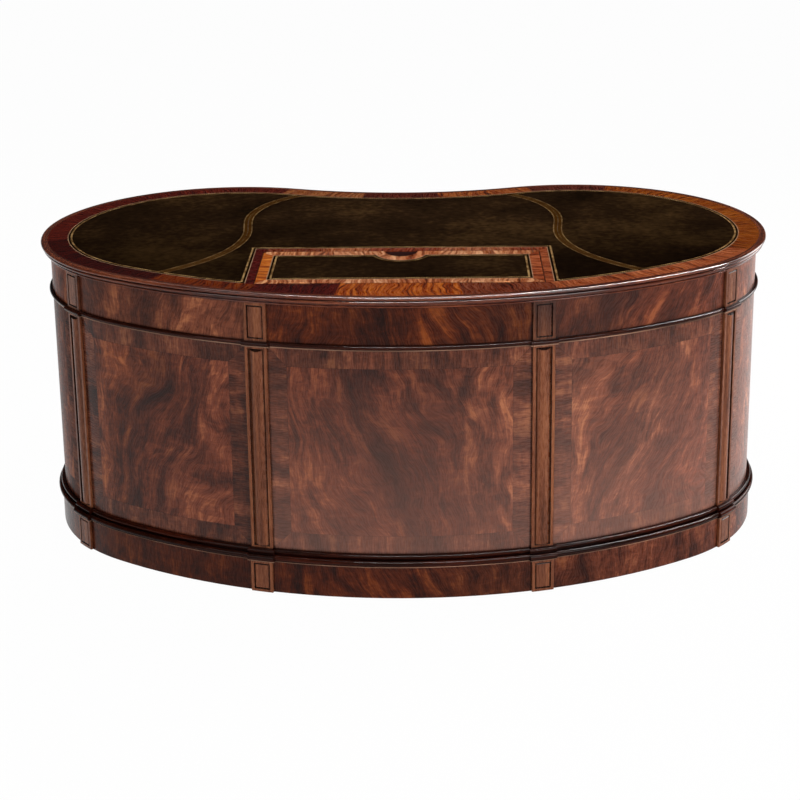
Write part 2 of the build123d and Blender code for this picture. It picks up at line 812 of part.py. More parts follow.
def wall_nodes():
    """The frieze boards and the panels between the pilasters."""
    places = ("end_left", "front_left", "front_centre", "front_right", "end_right")
    friezes = wall_segments(0, -skin_thickness, waist_top, core_bottom)
    panels = wall_segments(0, -skin_thickness, base_top, waist_bottom)
    nodes = {"frieze_" + place: shape for place, shape in zip(places, friezes)}
    nodes.update({"panel_" + place: shape for place, shape in zip(places, panels)})
    return nodes


def carcase_nodes():
    """The walls, boards, mouldings and pilasters that stand still."""
    nodes = {
        "waist_moulding": waist_moulding(),
        "base_moulding": base_moulding(),
        "plinth": plinth(),
        "sitter_frame": sitter_frame(),
        "centre_drawer_runners": centre_drawer_runners(),
        "floor_glides": floor_glides(),
    }
    for name, shape in (("kneehole_side", kneehole_side()), ("pedestal_base", pedestal_base()),
                        ("pedestal_dividers", pedestal_dividers())):
        left, right = both_sides(shape)
        nodes["left_" + name] = left
        nodes["right_" + name] = right
    names = ("pilaster_left_outer", "pilaster_left_inner", "pilaster_right_inner", "pilaster_right_outer")
    nodes.update({name: pilaster(x) for name, x in zip(names, pilaster_places)})
    return nodes


def top_nodes():
    """The top with its leathers, the lid with its hinges, and the cable well."""
    left, centre, right = leathers()
    fixed, moving, pins = lid_hinges()
    return {
        "top_core": top_core(),
        "top_edge_moulding": moulding(edge_profile()),
        "top_crossband": top_crossband(),
        "leather_left": left,
        "leather_centre": centre,
        "leather_right": right,
        "lid_board": lid_board(),
        "lid_leather": lid_leather(),
        "lid_hinge_fixed_leaves": fixed,
        "lid_hinge_moving_leaves": moving,
        "lid_hinge_pins": pins,
        "cable_well": cable_well(),
        "cable_grommets": cable_grommets(),
    }


os.makedirs("parts", exist_ok=True)
for nodes in (top_nodes(), wall_nodes(), carcase_nodes(), drawer_nodes()):
    for name, shape in nodes.items():
        export_step(Pos(0, plan_shift, 0) * shape, "parts/" + name + ".step")
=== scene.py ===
# Kidney shaped pedestal desk in mahogany with a tooled leather top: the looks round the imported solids.
# Metres, in the frame of the solids: the bowed visitor side faces -Y, the sitter's hollow side +Y.
import math
import bmesh
import bpy
from mathutils import Matrix, Quaternion, Vector


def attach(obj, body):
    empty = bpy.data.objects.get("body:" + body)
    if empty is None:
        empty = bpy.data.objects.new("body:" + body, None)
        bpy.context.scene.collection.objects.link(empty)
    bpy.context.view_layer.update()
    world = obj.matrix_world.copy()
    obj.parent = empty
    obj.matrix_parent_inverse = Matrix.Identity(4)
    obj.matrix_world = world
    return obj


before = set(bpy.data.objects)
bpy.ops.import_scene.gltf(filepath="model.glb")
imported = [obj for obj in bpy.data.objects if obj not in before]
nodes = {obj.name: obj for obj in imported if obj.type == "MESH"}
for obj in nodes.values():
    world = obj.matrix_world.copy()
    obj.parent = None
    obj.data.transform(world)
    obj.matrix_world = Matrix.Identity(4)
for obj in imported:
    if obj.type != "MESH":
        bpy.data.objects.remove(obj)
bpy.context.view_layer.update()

# View from the visitor side, from standing height. The photograph's uprights are nearly parallel, which
# a small upward shift of the lens allows, so the camera is pitched and shifted as far as that picture needs.
camera = bpy.data.cameras.new("view_from_visitor_side")
camera.sensor_width = 36.0
camera.lens = 84.06
camera.shift_y = -0.15
camera_object = bpy.data.objects.new("view_from_visitor_side", camera)
bpy.context.scene.collection.objects.link(camera_object)
camera_object.matrix_world = (
    Matrix.Translation((0.0846, -4.7151, 2.0553))
    @ Matrix.Rotation(math.radians(1.111), 4, "Z")
    @ Matrix.Rotation(math.radians(90 - 16.495), 4, "X")
    @ Matrix.Rotation(math.radians(-0.683), 4, "Z")
)
bpy.context.scene.camera = camera_object
bpy.context.scene.view_settings.view_transform = "Standard"

# Studio: a sweep of white paper under the desk, a large lamp overhead, a low key lamp on the visitor's right,
# one behind that end and weaker ones elsewhere. Three high strips show only in the polish, as lines of light
# along the mouldings.
FLOOR_HALF_WIDTH = 40.0
PAPER_WHITE = 0.98
ROOM_LIGHT = 0.06


def linear(code):
    """An sRGB hex colour as linear red, green, blue and alpha."""
    parts = [int(code[i:i + 2], 16) / 255 for i in (1, 3, 5)]
    return [c / 12.92 if c <= 0.04045 else ((c + 0.055) / 1.055) ** 2.4 for c in parts] + [1.0]


def add(tree, kind, *inputs, out=0, stops=(), interpolation="LINEAR", **settings):
    """A shader node with its settings and links. An input is a value or another node's output, or a dict of
    them by name. Stops are the positions and sRGB hex colours of a colour ramp. The output comes back."""
    made = tree.nodes.new("ShaderNode" + kind)
    for name, value in settings.items():
        setattr(made, name, value)
    if stops:
        made.color_ramp.interpolation = interpolation
        while len(made.color_ramp.elements) < len(stops):
            made.color_ramp.elements.new(1.0)
        for element, (position, code) in zip(made.color_ramp.elements, stops):
            element.position = position
            element.color = linear(code)
    named = [(i, value) for i, value in enumerate(inputs) if not isinstance(value, dict)]
    for group in inputs:
        named += list(group.items()) if isinstance(group, dict) else []
    for name, value in named:
        if isinstance(value, bpy.types.NodeSocket):
            tree.links.new(value, made.inputs[name])
        else:
            made.inputs[name].default_value = value
    return made.outputs[out] if made.outputs else None


floor_mesh = bpy.data.meshes.new("studio_floor")
floor_form = bmesh.new()
bmesh.ops.create_grid(floor_form, x_segments=1, y_segments=1, size=FLOOR_HALF_WIDTH)
floor_form.to_mesh(floor_mesh)
floor_form.free()
floor = bpy.data.objects.new("studio_floor", floor_mesh)
bpy.context.scene.collection.objects.link(floor)
paper = bpy.data.materials.new("white_paper_sweep")
paper.use_nodes = True
tree = paper.node_tree
tree.nodes.clear()
# Seen directly or in a reflection, the paper is nearly white by its own glow and needs no more light
seen = add(tree, "LightPath", out="Is Camera Ray")
seen = add(tree, "Math", seen, add(tree, "LightPath", out="Is Glossy Ray"), operation="MAXIMUM")
seen = add(tree, "Math", seen, add(tree, "LightPath", out="Is Transmission Ray"), operation="MAXIMUM")
share = add(tree, "Math", seen, PAPER_WHITE, operation="MULTIPLY")
lit = add(tree, "BsdfDiffuse", {"Color": linear("#E6E4E1")})
glow = add(tree, "Emission", {"Color": linear("#FFFFFF"), "Strength": 1.0})
add(tree, "OutputMaterial", add(tree, "MixShader", share, lit, glow))
floor_mesh.materials.append(paper)

world = bpy.data.worlds.new("studio_room")
bpy.context.scene.world = world
world.use_nodes = True
world.node_tree.nodes["Background"].inputs["Color"].default_value = linear("#D8D8DC")
world.node_tree.nodes["Background"].inputs["Strength"].default_value = ROOM_LIGHT

# Each lamp with its place, what it points at, its width and length, and its watts
lamps = (
    ("overhead_lamp", (-0.2, -0.6, 3.9), (0.0, 0.0, 0.0), (3.6, 2.6), 52.0),
    ("key_lamp", (3.3, -4.0, 1.5), (0.1, -0.3, 0.3), (1.6, 1.8), 168.0),
    ("right_back_lamp", (3.3, 1.6, 1.5), (0.8, 0.0, 0.5), (1.8, 1.8), 105.0),
    ("fill_lamp", (-3.6, -4.2, 1.9), (-0.1, -0.3, 0.4), (2.0, 2.0), 78.0),
    ("drawer_side_lamp", (-0.8, 2.4, 4.2), (0.0, 0.4, 0.3), (2.6, 1.6), 70.0),
    ("edge_glint_strip", (0.1, -0.36, 3.9), (0.1, -0.40, 0.78), (2.6, 0.3), 360.0),
    ("front_glint_strip", (0.6, -3.2, 3.6), (0.1, -0.4, 0.76), (3.2, 0.4), 600.0),
    ("right_glint_strip", (2.7, 0.1, 3.4), (0.8, -0.1, 0.5), (3.8, 0.4), 1100.0),
)
for name, place, aim, size, watts in lamps:
    lamp = bpy.data.lights.new(name, "AREA")
    lamp.shape = "RECTANGLE"
    lamp.size, lamp.size_y = size
    lamp.energy = watts
    lamp_object = bpy.data.objects.new(name, lamp)
    bpy.context.scene.collection.objects.link(lamp_object)
    lamp_object.location = place
    lamp_object.visible_diffuse = not name.endswith("glint_strip")
    lamp_object.rotation_mode = "QUATERNION"
    lamp_object.rotation_quaternion = (Vector(aim) - Vector(place)).to_track_quat("-Z", "Y")
    if name == "right_glint_strip":
        lamp_object.rotation_quaternion @= Quaternion((0.0, 0.0, 1.0), math.pi / 2)

# Plan of the desk: a bowed front, two round ends and a hollow back, all tangent. The veneers were cut and laid
# along this line, so their grain, borders and inlay lines are placed by the run along it and the depth from it.
PLAN_SHIFT = 0.072947
FRONT_RADIUS = 1.290
END_RADIUS = 0.460
END_X = 0.470
HOLLOW_RADIUS = 0.930
FRONT_Y = math.sqrt((FRONT_RADIUS - END_RADIUS) ** 2 - END_X ** 2)
HOLLOW_Y = math.sqrt((HOLLOW_RADIUS + END_RADIUS) ** 2 - END_X ** 2)
FRONT_TURN = math.atan2(END_X, FRONT_Y)
HOLLOW_TURN = math.atan2(END_X, HOLLOW_Y)
END_TURN = math.pi + HOLLOW_TURN - FRONT_TURN
FRONT_RUN = FRONT_RADIUS * FRONT_TURN
END_RUN = FRONT_RUN + END_RADIUS * END_TURN
HALF_RUN = END_RUN + HOLLOW_RADIUS * HOLLOW_TURN

run_group = bpy.data.node_groups.new("run_and_depth", "ShaderNodeTree")
for name in ("run", "depth"):
    run_group.interface.new_socket(name, in_out="OUTPUT", socket_type="NodeSocketFloat")
tree = run_group
place = add(tree, "TexCoord", out="Object")
x = add(tree, "SeparateXYZ", place, out="X")
y = add(tree, "Math", add(tree, "SeparateXYZ", place, out="Y"), PLAN_SHIFT, operation="SUBTRACT")
wide = add(tree, "Math", x, operation="ABSOLUTE")
side = add(tree, "Math", x, operation="SIGN")


def polar(tree, across, ahead):
    """Turn from straight ahead, and distance, of a point about a centre."""
    turn = add(tree, "Math", across, ahead, operation="ARCTAN2")
    squares = add(tree, "Math", add(tree, "Math", across, across, operation="MULTIPLY"),
                  add(tree, "Math", ahead, ahead, operation="MULTIPLY"), operation="ADD")
    return turn, add(tree, "Math", squares, operation="SQRT")


front_turn, front_reach = polar(tree, wide, add(tree, "Math", FRONT_Y, y, operation="SUBTRACT"))
hollow_turn, hollow_reach = polar(tree, wide, add(tree, "Math", HOLLOW_Y, y, operation="SUBTRACT"))
end_turn, end_reach = polar(tree, y, add(tree, "Math", wide, END_X, operation="SUBTRACT"))
front_run = add(tree, "Math", front_turn, FRONT_RADIUS, operation="MULTIPLY")
end_run = add(tree, "Math", end_turn, END_RADIUS, FRONT_RUN + END_RADIUS * (math.pi / 2 - FRONT_TURN),
              operation="MULTIPLY_ADD")
hollow_run = add(tree, "Math", hollow_turn, -HOLLOW_RADIUS, HALF_RUN, operation="MULTIPLY_ADD")
front_depth = add(tree, "Math", front_reach, FRONT_RADIUS, operation="SUBTRACT")
end_depth = add(tree, "Math", end_reach, END_RADIUS, operation="SUBTRACT")
hollow_depth = add(tree, "Math", HOLLOW_RADIUS, hollow_reach, operation="SUBTRACT")
ahead = add(tree, "Math", y, 0.0, operation="LESS_THAN")
behind = add(tree, "Math", 1.0, ahead, operation="SUBTRACT")
on_front = add(tree, "Math", add(tree, "Math", front_turn, FRONT_TURN, operation="LESS_THAN"), ahead,
               operation="MULTIPLY")
on_hollow = add(tree, "Math", add(tree, "Math", hollow_turn, HOLLOW_TURN, operation="LESS_THAN"), behind,
                operation="MULTIPLY")
run = add(tree, "Mix", {"Factor": on_front, 2: end_run, 3: front_run})
run = add(tree, "Mix", {"Factor": on_hollow, 2: run, 3: hollow_run})
run = add(tree, "Math", run, side, operation="MULTIPLY")
depth = add(tree, "Mix", {"Factor": on_front, 2: end_depth, 3: front_depth})
depth = add(tree, "Mix", {"Factor": on_hollow, 2: depth, 3: hollow_depth})
group_end = tree.nodes.new("NodeGroupOutput")
tree.links.new(run, group_end.inputs["run"])
tree.links.new(depth, group_end.inputs["depth"])

# Panels: five bowed boards faced with a flame mahogany leaf in a crossbanded border whose corners are mitred.
# They are glued between the pilasters. Sawn through the crotch of the tree, the veneer shows plumes that lean
# across the leaf, and its thin hand rubbed polish leaves a soft sheen and fine open pores.
PANEL_MIDDLE = 0.380
PANEL_HALF_HEIGHT = 0.261
BORDER = 0.046
JOINT_HALF_WIDTH = 0.0007
MITRE_HALF_WIDTH = 0.0010
WANDER = 0.12
SHEEN_REACH = 0.26
PORE_DEPTH = 0.0003
CREASE_REACH = 0.008


def finish_named(name, **sockets):
    """A material with its surface shader, whose plain values are set on the shader's own sockets."""
    material = bpy.data.materials.new(name)
    material.use_nodes = True
    shader = material.node_tree.nodes["Principled BSDF"]
    for socket, value in sockets.items():
        shader.inputs[socket.replace("_", " ")].default_value = value
    return material, material.node_tree, shader


def dress(material, *names):
    """Gives a material to solids."""
    for name in names:
        nodes[name].data.materials.clear()
        nodes[name].data.materials.append(material)


def streaks(tree, place, width, length, detail=5.0, roughness=0.55, distortion=0.0):
    """Grain drawn out along the second axis, with the width and length of a streak in metres."""
    scaled = add(tree, "Mapping", {"Vector": place, "Scale": (1 / width, 1 / length, 1.0)})
    return add(tree, "TexNoise", {"Vector": scaled, "Scale": 1.0, "Detail": detail, "Roughness": roughness,
                                  "Distortion": distortion}, out="Fac")


def polish_with_crease_shade(tree, shader, colour, pores, crease_shade="#150604", gloss=(0.22, 0.38), openness=0.10):
    """Hand rubbed polish over wood: painted shade darkening the creases, open pores, and a soft sheen."""
    # Painted shade: the colour darkens towards a near black brown where ambient occlusion finds a crease close
    # by
    crevice = add(tree, "AmbientOcclusion", {"Distance": CREASE_REACH}, out="AO", samples=6)
    crevice = add(tree, "MapRange", crevice, 0.30, 0.85, 1.0, 0.0)
    kept = add(tree, "Mix", {"Factor": crevice, 6: colour, 7: linear(crease_shade)}, out=2, data_type="RGBA")
    tree.links.new(kept, shader.inputs["Base Color"])
    rough = add(tree, "MapRange", pores, 0.35, 0.75, *gloss)
    tree.links.new(rough, shader.inputs["Roughness"])
    bump = add(tree, "Bump", {"Strength": openness, "Distance": PORE_DEPTH, "Height": pores})
    tree.links.new(bump, shader.inputs["Normal"])


def flame_veneer(name, middle, height, half, lean, seed, wash, border=0.0, painted_sheen=(0.0, 0.0), shine=0.2):
    """Figured mahogany veneer laid upright on the desk's curved face. The leaf is centred on a run and a
    height. Its figure leans by an amount, about a place and over a width. A wash of tones follows the grain
    lines from its left to its right side, a painted pale sheen covers it by the shares given for its foot and
    its top, and it may have a crossbanded border with mitred corners."""
    material, tree, shader = finish_named(name, Specular_IOR_Level=shine)
    run = add(tree, "Group", node_tree=run_group, out="run")
    up = add(tree, "SeparateXYZ", add(tree, "TexCoord", out="Object"), out="Z")
    across = add(tree, "Math", run, middle, operation="SUBTRACT")
    along = add(tree, "Math", up, height, operation="SUBTRACT")
    # The crotch figure: straight at the leaf's sides, swept across its middle, wandering by a few centimetres
    bell = add(tree, "Math", add(tree, "Math", across, lean[1], operation="SUBTRACT"), lean[2],
               operation="DIVIDE")
    bell = add(tree, "Math", add(tree, "Math", bell, bell, operation="MULTIPLY"), -1.0, operation="MULTIPLY")
    bell = add(tree, "Math", add(tree, "Math", bell, operation="EXPONENT"), lean[0], operation="MULTIPLY")
    swept = add(tree, "Math", bell, along, across, operation="MULTIPLY_ADD")
    wander = add(tree, "TexNoise", {"Vector": add(tree, "CombineXYZ", across, along, seed), "Scale": 5.0,
                                    "Detail": 2.0}, out="Fac")
    swept = add(tree, "Math", wander, WANDER, swept, operation="MULTIPLY_ADD")
    leaf = add(tree, "CombineXYZ", swept, along, seed)
    if border:
        side_room = add(tree, "Math", half[0], add(tree, "Math", across, operation="ABSOLUTE"),
                        operation="SUBTRACT")
        level_room = add(tree, "Math", half[1], add(tree, "Math", along, operation="ABSOLUTE"),
                         operation="SUBTRACT")
        room = add(tree, "Math", side_room, level_room, operation="MINIMUM")
        in_border = add(tree, "Math", room, border, operation="LESS_THAN")
        at_side = add(tree, "Math", side_room, level_room, operation="LESS_THAN")
        flat = add(tree, "CombineXYZ", along, across, seed + 3.0)
        tall = add(tree, "CombineXYZ", across, along, seed + 6.0)
        banding = add(tree, "Mix", {"Factor": at_side, 4: tall, 5: flat}, out=1, data_type="VECTOR")
        leaf = add(tree, "Mix", {"Factor": in_border, 4: leaf, 5: banding}, out=1, data_type="VECTOR")
    # Clouds and plumes, feathered wisps along the grain, a mottle across it, and pores. Real pores are 0.2 mm
    # wide and are drawn at 2.2 mm, coarse enough to show.
    clouds = streaks(tree, leaf, 0.048, 0.125, 5.0, 0.58, 0.7)
    wisps = streaks(tree, leaf, 0.010, 0.110, 4.0, 0.62, 0.9)
    mottle = streaks(tree, leaf, 0.030, 0.014, 3.0, 0.6, 0.9)
    pores = streaks(tree, leaf, 0.0022, 0.028, 3.0, 0.6)
    figure = add(tree, "Mix", {"Factor": 0.30, 2: clouds, 3: wisps})
    figure = add(tree, "Mix", {"Factor": 0.20, 2: figure, 3: mottle})
    figure = add(tree, "Mix", {"Factor": 0.11, 2: figure, 3: pores})
    colour = add(tree, "ValToRGB", figure, stops=((0.395, "#351911"), (0.467, "#583021"), (0.533, "#794836"),
                                                  (0.61, "#A87354")))
    # From 0 at the leaf's left side to 1 at its right, less the mean of the wander
    from_left = add(tree, "Math", swept, 0.5 / half[0], 0.5 - WANDER / 4 / half[0], operation="MULTIPLY_ADD")
    shade = add(tree, "ValToRGB", from_left, stops=wash)
    if border:
        # The border is pieced from leaves about an eighth of a metre long, each with a tone of its own
        piece = add(tree, "VectorMath", banding, (8.0, 0.0, 1.0), operation="MULTIPLY")
        piece = add(tree, "TexNoise", {"Vector": piece, "Scale": 1.0, "Detail": 0.0}, out="Fac")
        piece = add(tree, "ValToRGB", piece, stops=((0.38, "#AE988A"), (0.62, "#E2CABA")))
        shade = add(tree, "Mix", {"Factor": in_border, 6: shade, 7: piece}, out=2, data_type="RGBA")
        seam = add(tree, "Math", room, border, operation="SUBTRACT")
        seam = add(tree, "Math", add(tree, "Math", seam, operation="ABSOLUTE"), JOINT_HALF_WIDTH,
                   operation="LESS_THAN")
        mitre = add(tree, "Math", side_room, level_room, operation="SUBTRACT")
        mitre = add(tree, "Math", add(tree, "Math", mitre, operation="ABSOLUTE"), MITRE_HALF_WIDTH,
                    operation="LESS_THAN")
        mitre = add(tree, "Math", mitre, in_border, operation="MULTIPLY")
        joint = add(tree, "Math", add(tree, "Math", seam, mitre, operation="MAXIMUM"), 0.5,
                    operation="MULTIPLY")
        shade = add(tree, "Mix", {"Factor": joint, 6: shade, 7: linear("#402820")}, out=2, data_type="RGBA")
    colour = add(tree, "Mix", {"Factor": 1.0, 6: colour, 7: shade}, out=2, data_type="RGBA",
                 blend_type="MULTIPLY")
    # Painted sheen: the colour is mixed towards a pale pink, by the shares given for the leaf's foot and top
    sheen_share = add(tree, "MapRange", along, -SHEEN_REACH, SHEEN_REACH, *painted_sheen)
    colour = add(tree, "Mix", {"Factor": sheen_share, 6: colour, 7: linear("#B88C7E")}, out=2, data_type="RGBA")
    polish_with_crease_shade(tree, shader, colour, pores)
    return material


# Each leaf with its middle and half its width along the outline, its lean, its seed, its wash, and its painted
# sheen
panel_leaves = (
    ("panel_end_left", -1.2714, 0.3398, (-0.30, 0.05, 0.18), 11.0,
     ((0.1, "#D8B8A4"), (0.5, "#F0D4C0"), (0.9, "#E0C0AC")), (0.02, 0.0)),
    ("panel_front_left", -0.6254, 0.2502, (-0.42, 0.04, 0.16), 23.0,
     ((0.06, "#FFDCBA"), (0.24, "#FFD8B0"), (0.36, "#9C7A66"), (0.50, "#E0BAA0"), (0.62, "#B89686"),
      (0.80, "#F0CEBC")), (0.02, 0.0)),
    ("panel_front_centre", 0.0, 0.3192, (0.45, -0.05, 0.19), 37.0,
     ((0.08, "#E2BEA4"), (0.30, "#D2AC96"), (0.44, "#805F4F"), (0.58, "#C09A86"), (0.70, "#B4927F"),
      (0.88, "#F2D6C2")), (0.19, 0.0)),
    ("panel_front_right", 0.6254, 0.2502, (-0.60, -0.01, 0.17), 51.0,
     ((0.06, "#FFECDA"), (0.20, "#FFE2CC"), (0.34, "#B09080"), (0.52, "#FFECE0"), (0.68, "#D0AE9E"),
      (0.9, "#FFE0D2")), (0.25, 0.03)),
    ("panel_end_right", 1.2714, 0.3398, (0.30, -0.05, 0.18), 67.0,
     ((0.1, "#FFE4D4"), (0.5, "#FFE8DC"), (0.9, "#F0D4C4")), (0.24, 0.20)),
)
for name, middle, half_run, lean, seed, wash, painted_sheen in panel_leaves:
    dress(flame_veneer("flame_mahogany_" + name, middle, PANEL_MIDDLE, (half_run, PANEL_HALF_HEIGHT), lean,
                       seed, wash, BORDER, painted_sheen, 0.015 if name == "panel_end_left" else 0.2), name)

# Frieze: bowed boards glued under the top between the pilasters' blocks. Each is veneered with one leaf of
# mahogany laid upright, without a border, and carries less painted sheen than the panels.
FRIEZE_MIDDLE = 0.707
frieze_leaves = (
    ("frieze_end_left", -1.2714, 0.3398, (0.2, 0.0, 0.2), 81.0, ((0.2, "#D8B49C"), (0.8, "#F0D0B8")), 0.01),
    ("frieze_front_left", -0.6254, 0.2502, (-0.5, 0.05, 0.15), 83.0,
     ((0.1, "#B89880"), (0.28, "#FFE4C8"), (0.40, "#9C7C68"), (0.7, "#FFE6CE"), (0.9, "#FFE8D2")), 0.03),
    ("frieze_front_centre", 0.0, 0.3192, (0.6, 0.06, 0.16), 85.0,
     ((0.1, "#B88652"), (0.4, "#84603C"), (0.6, "#C08E54"), (0.9, "#9C764A")), 0.0),
    ("frieze_front_right", 0.6254, 0.2502, (-0.4, 0.0, 0.16), 87.0,
     ((0.1, "#A8846A"), (0.3, "#70544A"), (0.55, "#D8AC8C"), (0.7, "#A88270"), (0.9, "#E0B8A0")), 0.03),
    ("frieze_end_right", 1.2714, 0.3398, (0.2, 0.0, 0.2), 89.0, ((0.2, "#F8DCC8"), (0.8, "#E0C0AC")), 0.10),
)
for name, middle, half_run, lean, seed, wash, painted_sheen in frieze_leaves:
    dress(flame_veneer("mahogany_veneer_" + name, middle, FRIEZE_MIDDLE, (half_run, 0.0), lean, seed, wash,
                       painted_sheen=(painted_sheen, painted_sheen), shine=0.015 if name == "frieze_end_left" else 0.12), name)

# Plinth: a bent board round the foot of the desk, open at the kneehole and veneered with its grain upright. It
# is coloured darker and browner than the panels, and paler towards its right end.
PLINTH_MIDDLE = 0.045
dress(flame_veneer("plinth_mahogany_veneer", 0.0, PLINTH_MIDDLE, (1.0, 0.0), (0.25, 0.0, 0.4), 95.0,
                   ((0.1, "#AC8258"), (0.3, "#986C44"), (0.5, "#B8875A"), (0.6, "#A48468"), (0.8, "#D4B8AA")),
                   shine=0.12), "plinth")

# Drawer fronts: curved boards faced with upright leaves of the same mahogany as the frieze, which match from
# drawer to drawer down each pedestal.
DRAWER_FRONTS_RUN = 2.1
DRAWER_FRONTS_MIDDLE = 0.45
drawers = ["centre_drawer"] + [side + "_" + tier + "_drawer" for side in ("left", "right")
                               for tier in ("top", "middle", "file")]
dress(flame_veneer("drawer_front_veneer", DRAWER_FRONTS_RUN, DRAWER_FRONTS_MIDDLE, (0.4, 0.0),
                   (0.3, 0.0, 0.4), 107.0, ((0.2, "#E8D0C0"), (0.8, "#F4E0D0")), shine=0.07),
      *[drawer + "_front" for drawer in drawers])

# Pilasters: solid mahogany uprights with a recess and an applied strip, glued and pegged to the carcase. Their
# straight grain is a little yellower than the veneers, and painted shade darkens their blocks under the top,
# most on the right inner one.
WAIST_TOP = 0.655
OVERHANG_SHADE_TOP = 0.735


def within(tree, value, low, high):
    """One where a value lies between two others, and nothing elsewhere."""
    return add(tree, "Math", add(tree, "Math", value, low, operation="GREATER_THAN"),
               add(tree, "Math", value, high, operation="LESS_THAN"), operation="MULTIPLY")


def solid_mahogany(name, seed, upright=True, dark="#34180F", mid="#5E3321", light="#80492C", shine=0.2,
                   gloss=(0.22, 0.38), openness=0.10, highlight_band=None, overhang_shade=0.0):
    """Straight grained solid mahogany, worked with its grain upright or along the run of a moulding. Faces that
    look up are darkened, partly as stain drunk by the ends of the grain and partly as painted shade, painted
    shade darkens the part under the top, and a painted highlight lies as a pale band between two levels. Real
    pores are 0.2 mm wide and are drawn coarser, to show."""
    material, tree, shader = finish_named(name, Specular_IOR_Level=shine)
    run = add(tree, "Group", node_tree=run_group, out="run")
    depth = add(tree, "Group", node_tree=run_group, out="depth")
    up = add(tree, "SeparateXYZ", add(tree, "TexCoord", out="Object"), out="Z")
    if upright:
        grain = add(tree, "CombineXYZ", add(tree, "Math", run, depth, operation="ADD"), up, seed)
    else:
        grain = add(tree, "CombineXYZ", add(tree, "Math", up, depth, operation="ADD"), run, seed)
    broad = streaks(tree, grain, 0.012, 0.300, 4.0, 0.5, 0.3)
    pores = streaks(tree, grain, 0.0016, 0.025, 4.0, 0.6)
    figure = add(tree, "Mix", {"Factor": 0.4, 2: broad, 3: pores})
    colour = add(tree, "ValToRGB", figure, stops=((0.36, dark), (0.50, mid), (0.64, light)))
    if upright:
        # Faces that look up darken: the ends of the grain drink more stain, and painted shade stands for the
        # shadow of the mouldings above them
        facing_up = add(tree, "SeparateXYZ", add(tree, "NewGeometry", out="Normal"), out="Z")
        end_grain_and_shade = add(tree, "MapRange", facing_up, 0.25, 0.55, 0.0, 0.9)
        colour = add(tree, "Mix", {"Factor": end_grain_and_shade, 6: colour, 7: linear("#1C0A06")}, out=2,
                     data_type="RGBA")
        # Painted shade under the top: the blocks darken upwards from the waist, by the share given for each
        # pilaster
        painted_overhang_shade = add(tree, "MapRange", up, WAIST_TOP, OVERHANG_SHADE_TOP, 0.4 * overhang_shade, overhang_shade)
        painted_overhang_shade = add(tree, "Math", painted_overhang_shade, add(tree, "Math", up, WAIST_TOP, operation="GREATER_THAN"),
                    operation="MULTIPLY")
        colour = add(tree, "Mix", {"Factor": painted_overhang_shade, 6: colour, 7: linear("#2A1008")}, out=2,
                     data_type="RGBA")
    if highlight_band:
        # Painted highlight: a pale band between two levels, for the line of light along a fillet's edge
        worn = add(tree, "Math", within(tree, up, *highlight_band), add(tree, "MapRange", broad, 0.35, 0.65, 0.15, 0.75),
                   operation="MULTIPLY")
        colour = add(tree, "Mix", {"Factor": worn, 6: colour, 7: linear("#B89078")}, out=2, data_type="RGBA")
    polish_with_crease_shade(tree, shader, colour, pores, "#120404", gloss, openness)
    return material


for place, overhang_shade in (("left_outer", 0.15), ("left_inner", 0.12), ("right_inner", 0.80),
                         ("right_outer", 0.2)):
    dress(solid_mahogany("pilaster_mahogany_" + place, 5.0, dark="#482312", mid="#6E3C24", light="#8E5636",
                         overhang_shade=overhang_shade), "pilaster_" + place)

# Mouldings: solid lengths worked with their grain along the run, glued and pinned round the body, stained dark
# and polished until each bead shows a line of light. A painted highlight lies as a pale line along the fillets
# under the waist bead and the base bead.
WAIST_HIGHLIGHT_BAND = (0.641, 0.6435)
BASE_HIGHLIGHT_BAND = (0.0865, 0.0886)
bright_polish = {"upright": False, "gloss": (0.13, 0.17), "openness": 0.015}
dress(solid_mahogany("edge_moulding_mahogany", 9.0, dark="#2C0F07", mid="#582716", light="#84452A", shine=0.24,
                     **bright_polish), "top_edge_moulding")
dress(solid_mahogany("waist_moulding_mahogany", 10.0, dark="#1A0804", mid="#280F08", light="#441C10",
                     shine=0.07, highlight_band=WAIST_HIGHLIGHT_BAND, **bright_polish), "waist_moulding")
dress(solid_mahogany("base_moulding_mahogany", 11.0, dark="#100402", mid="#260D06", light="#44190D",
                     shine=0.05, highlight_band=BASE_HIGHLIGHT_BAND, **bright_polish), "base_moulding")

# Stiles, rails and kneehole walls: solid mahogany with its grain upright, tenoned round the drawers, with a
# duller polish than the visitor's side.
dress(solid_mahogany("frame_mahogany", 13.0, shine=0.05), "sitter_frame", "left_kneehole_side",
      "right_kneehole_side")

# Crossband of the top: leaves of mahogany laid with their grain square to the edge, each of its own tone, and
# the veneered frame round the lid. They are glued to the board flush with the leather, and cut from curly
# stock, so waves of figure cross each leaf.
LID_HALF_WIDTH = 0.348
LID_FRONT_Y = -0.505 + PLAN_SHIFT
LID_BACK_Y = -0.224 + PLAN_SHIFT
SURROUND_HALF_WIDTH = 0.372
SURROUND_BACK_Y = -0.192 + PLAN_SHIFT
CUT = 0.0005


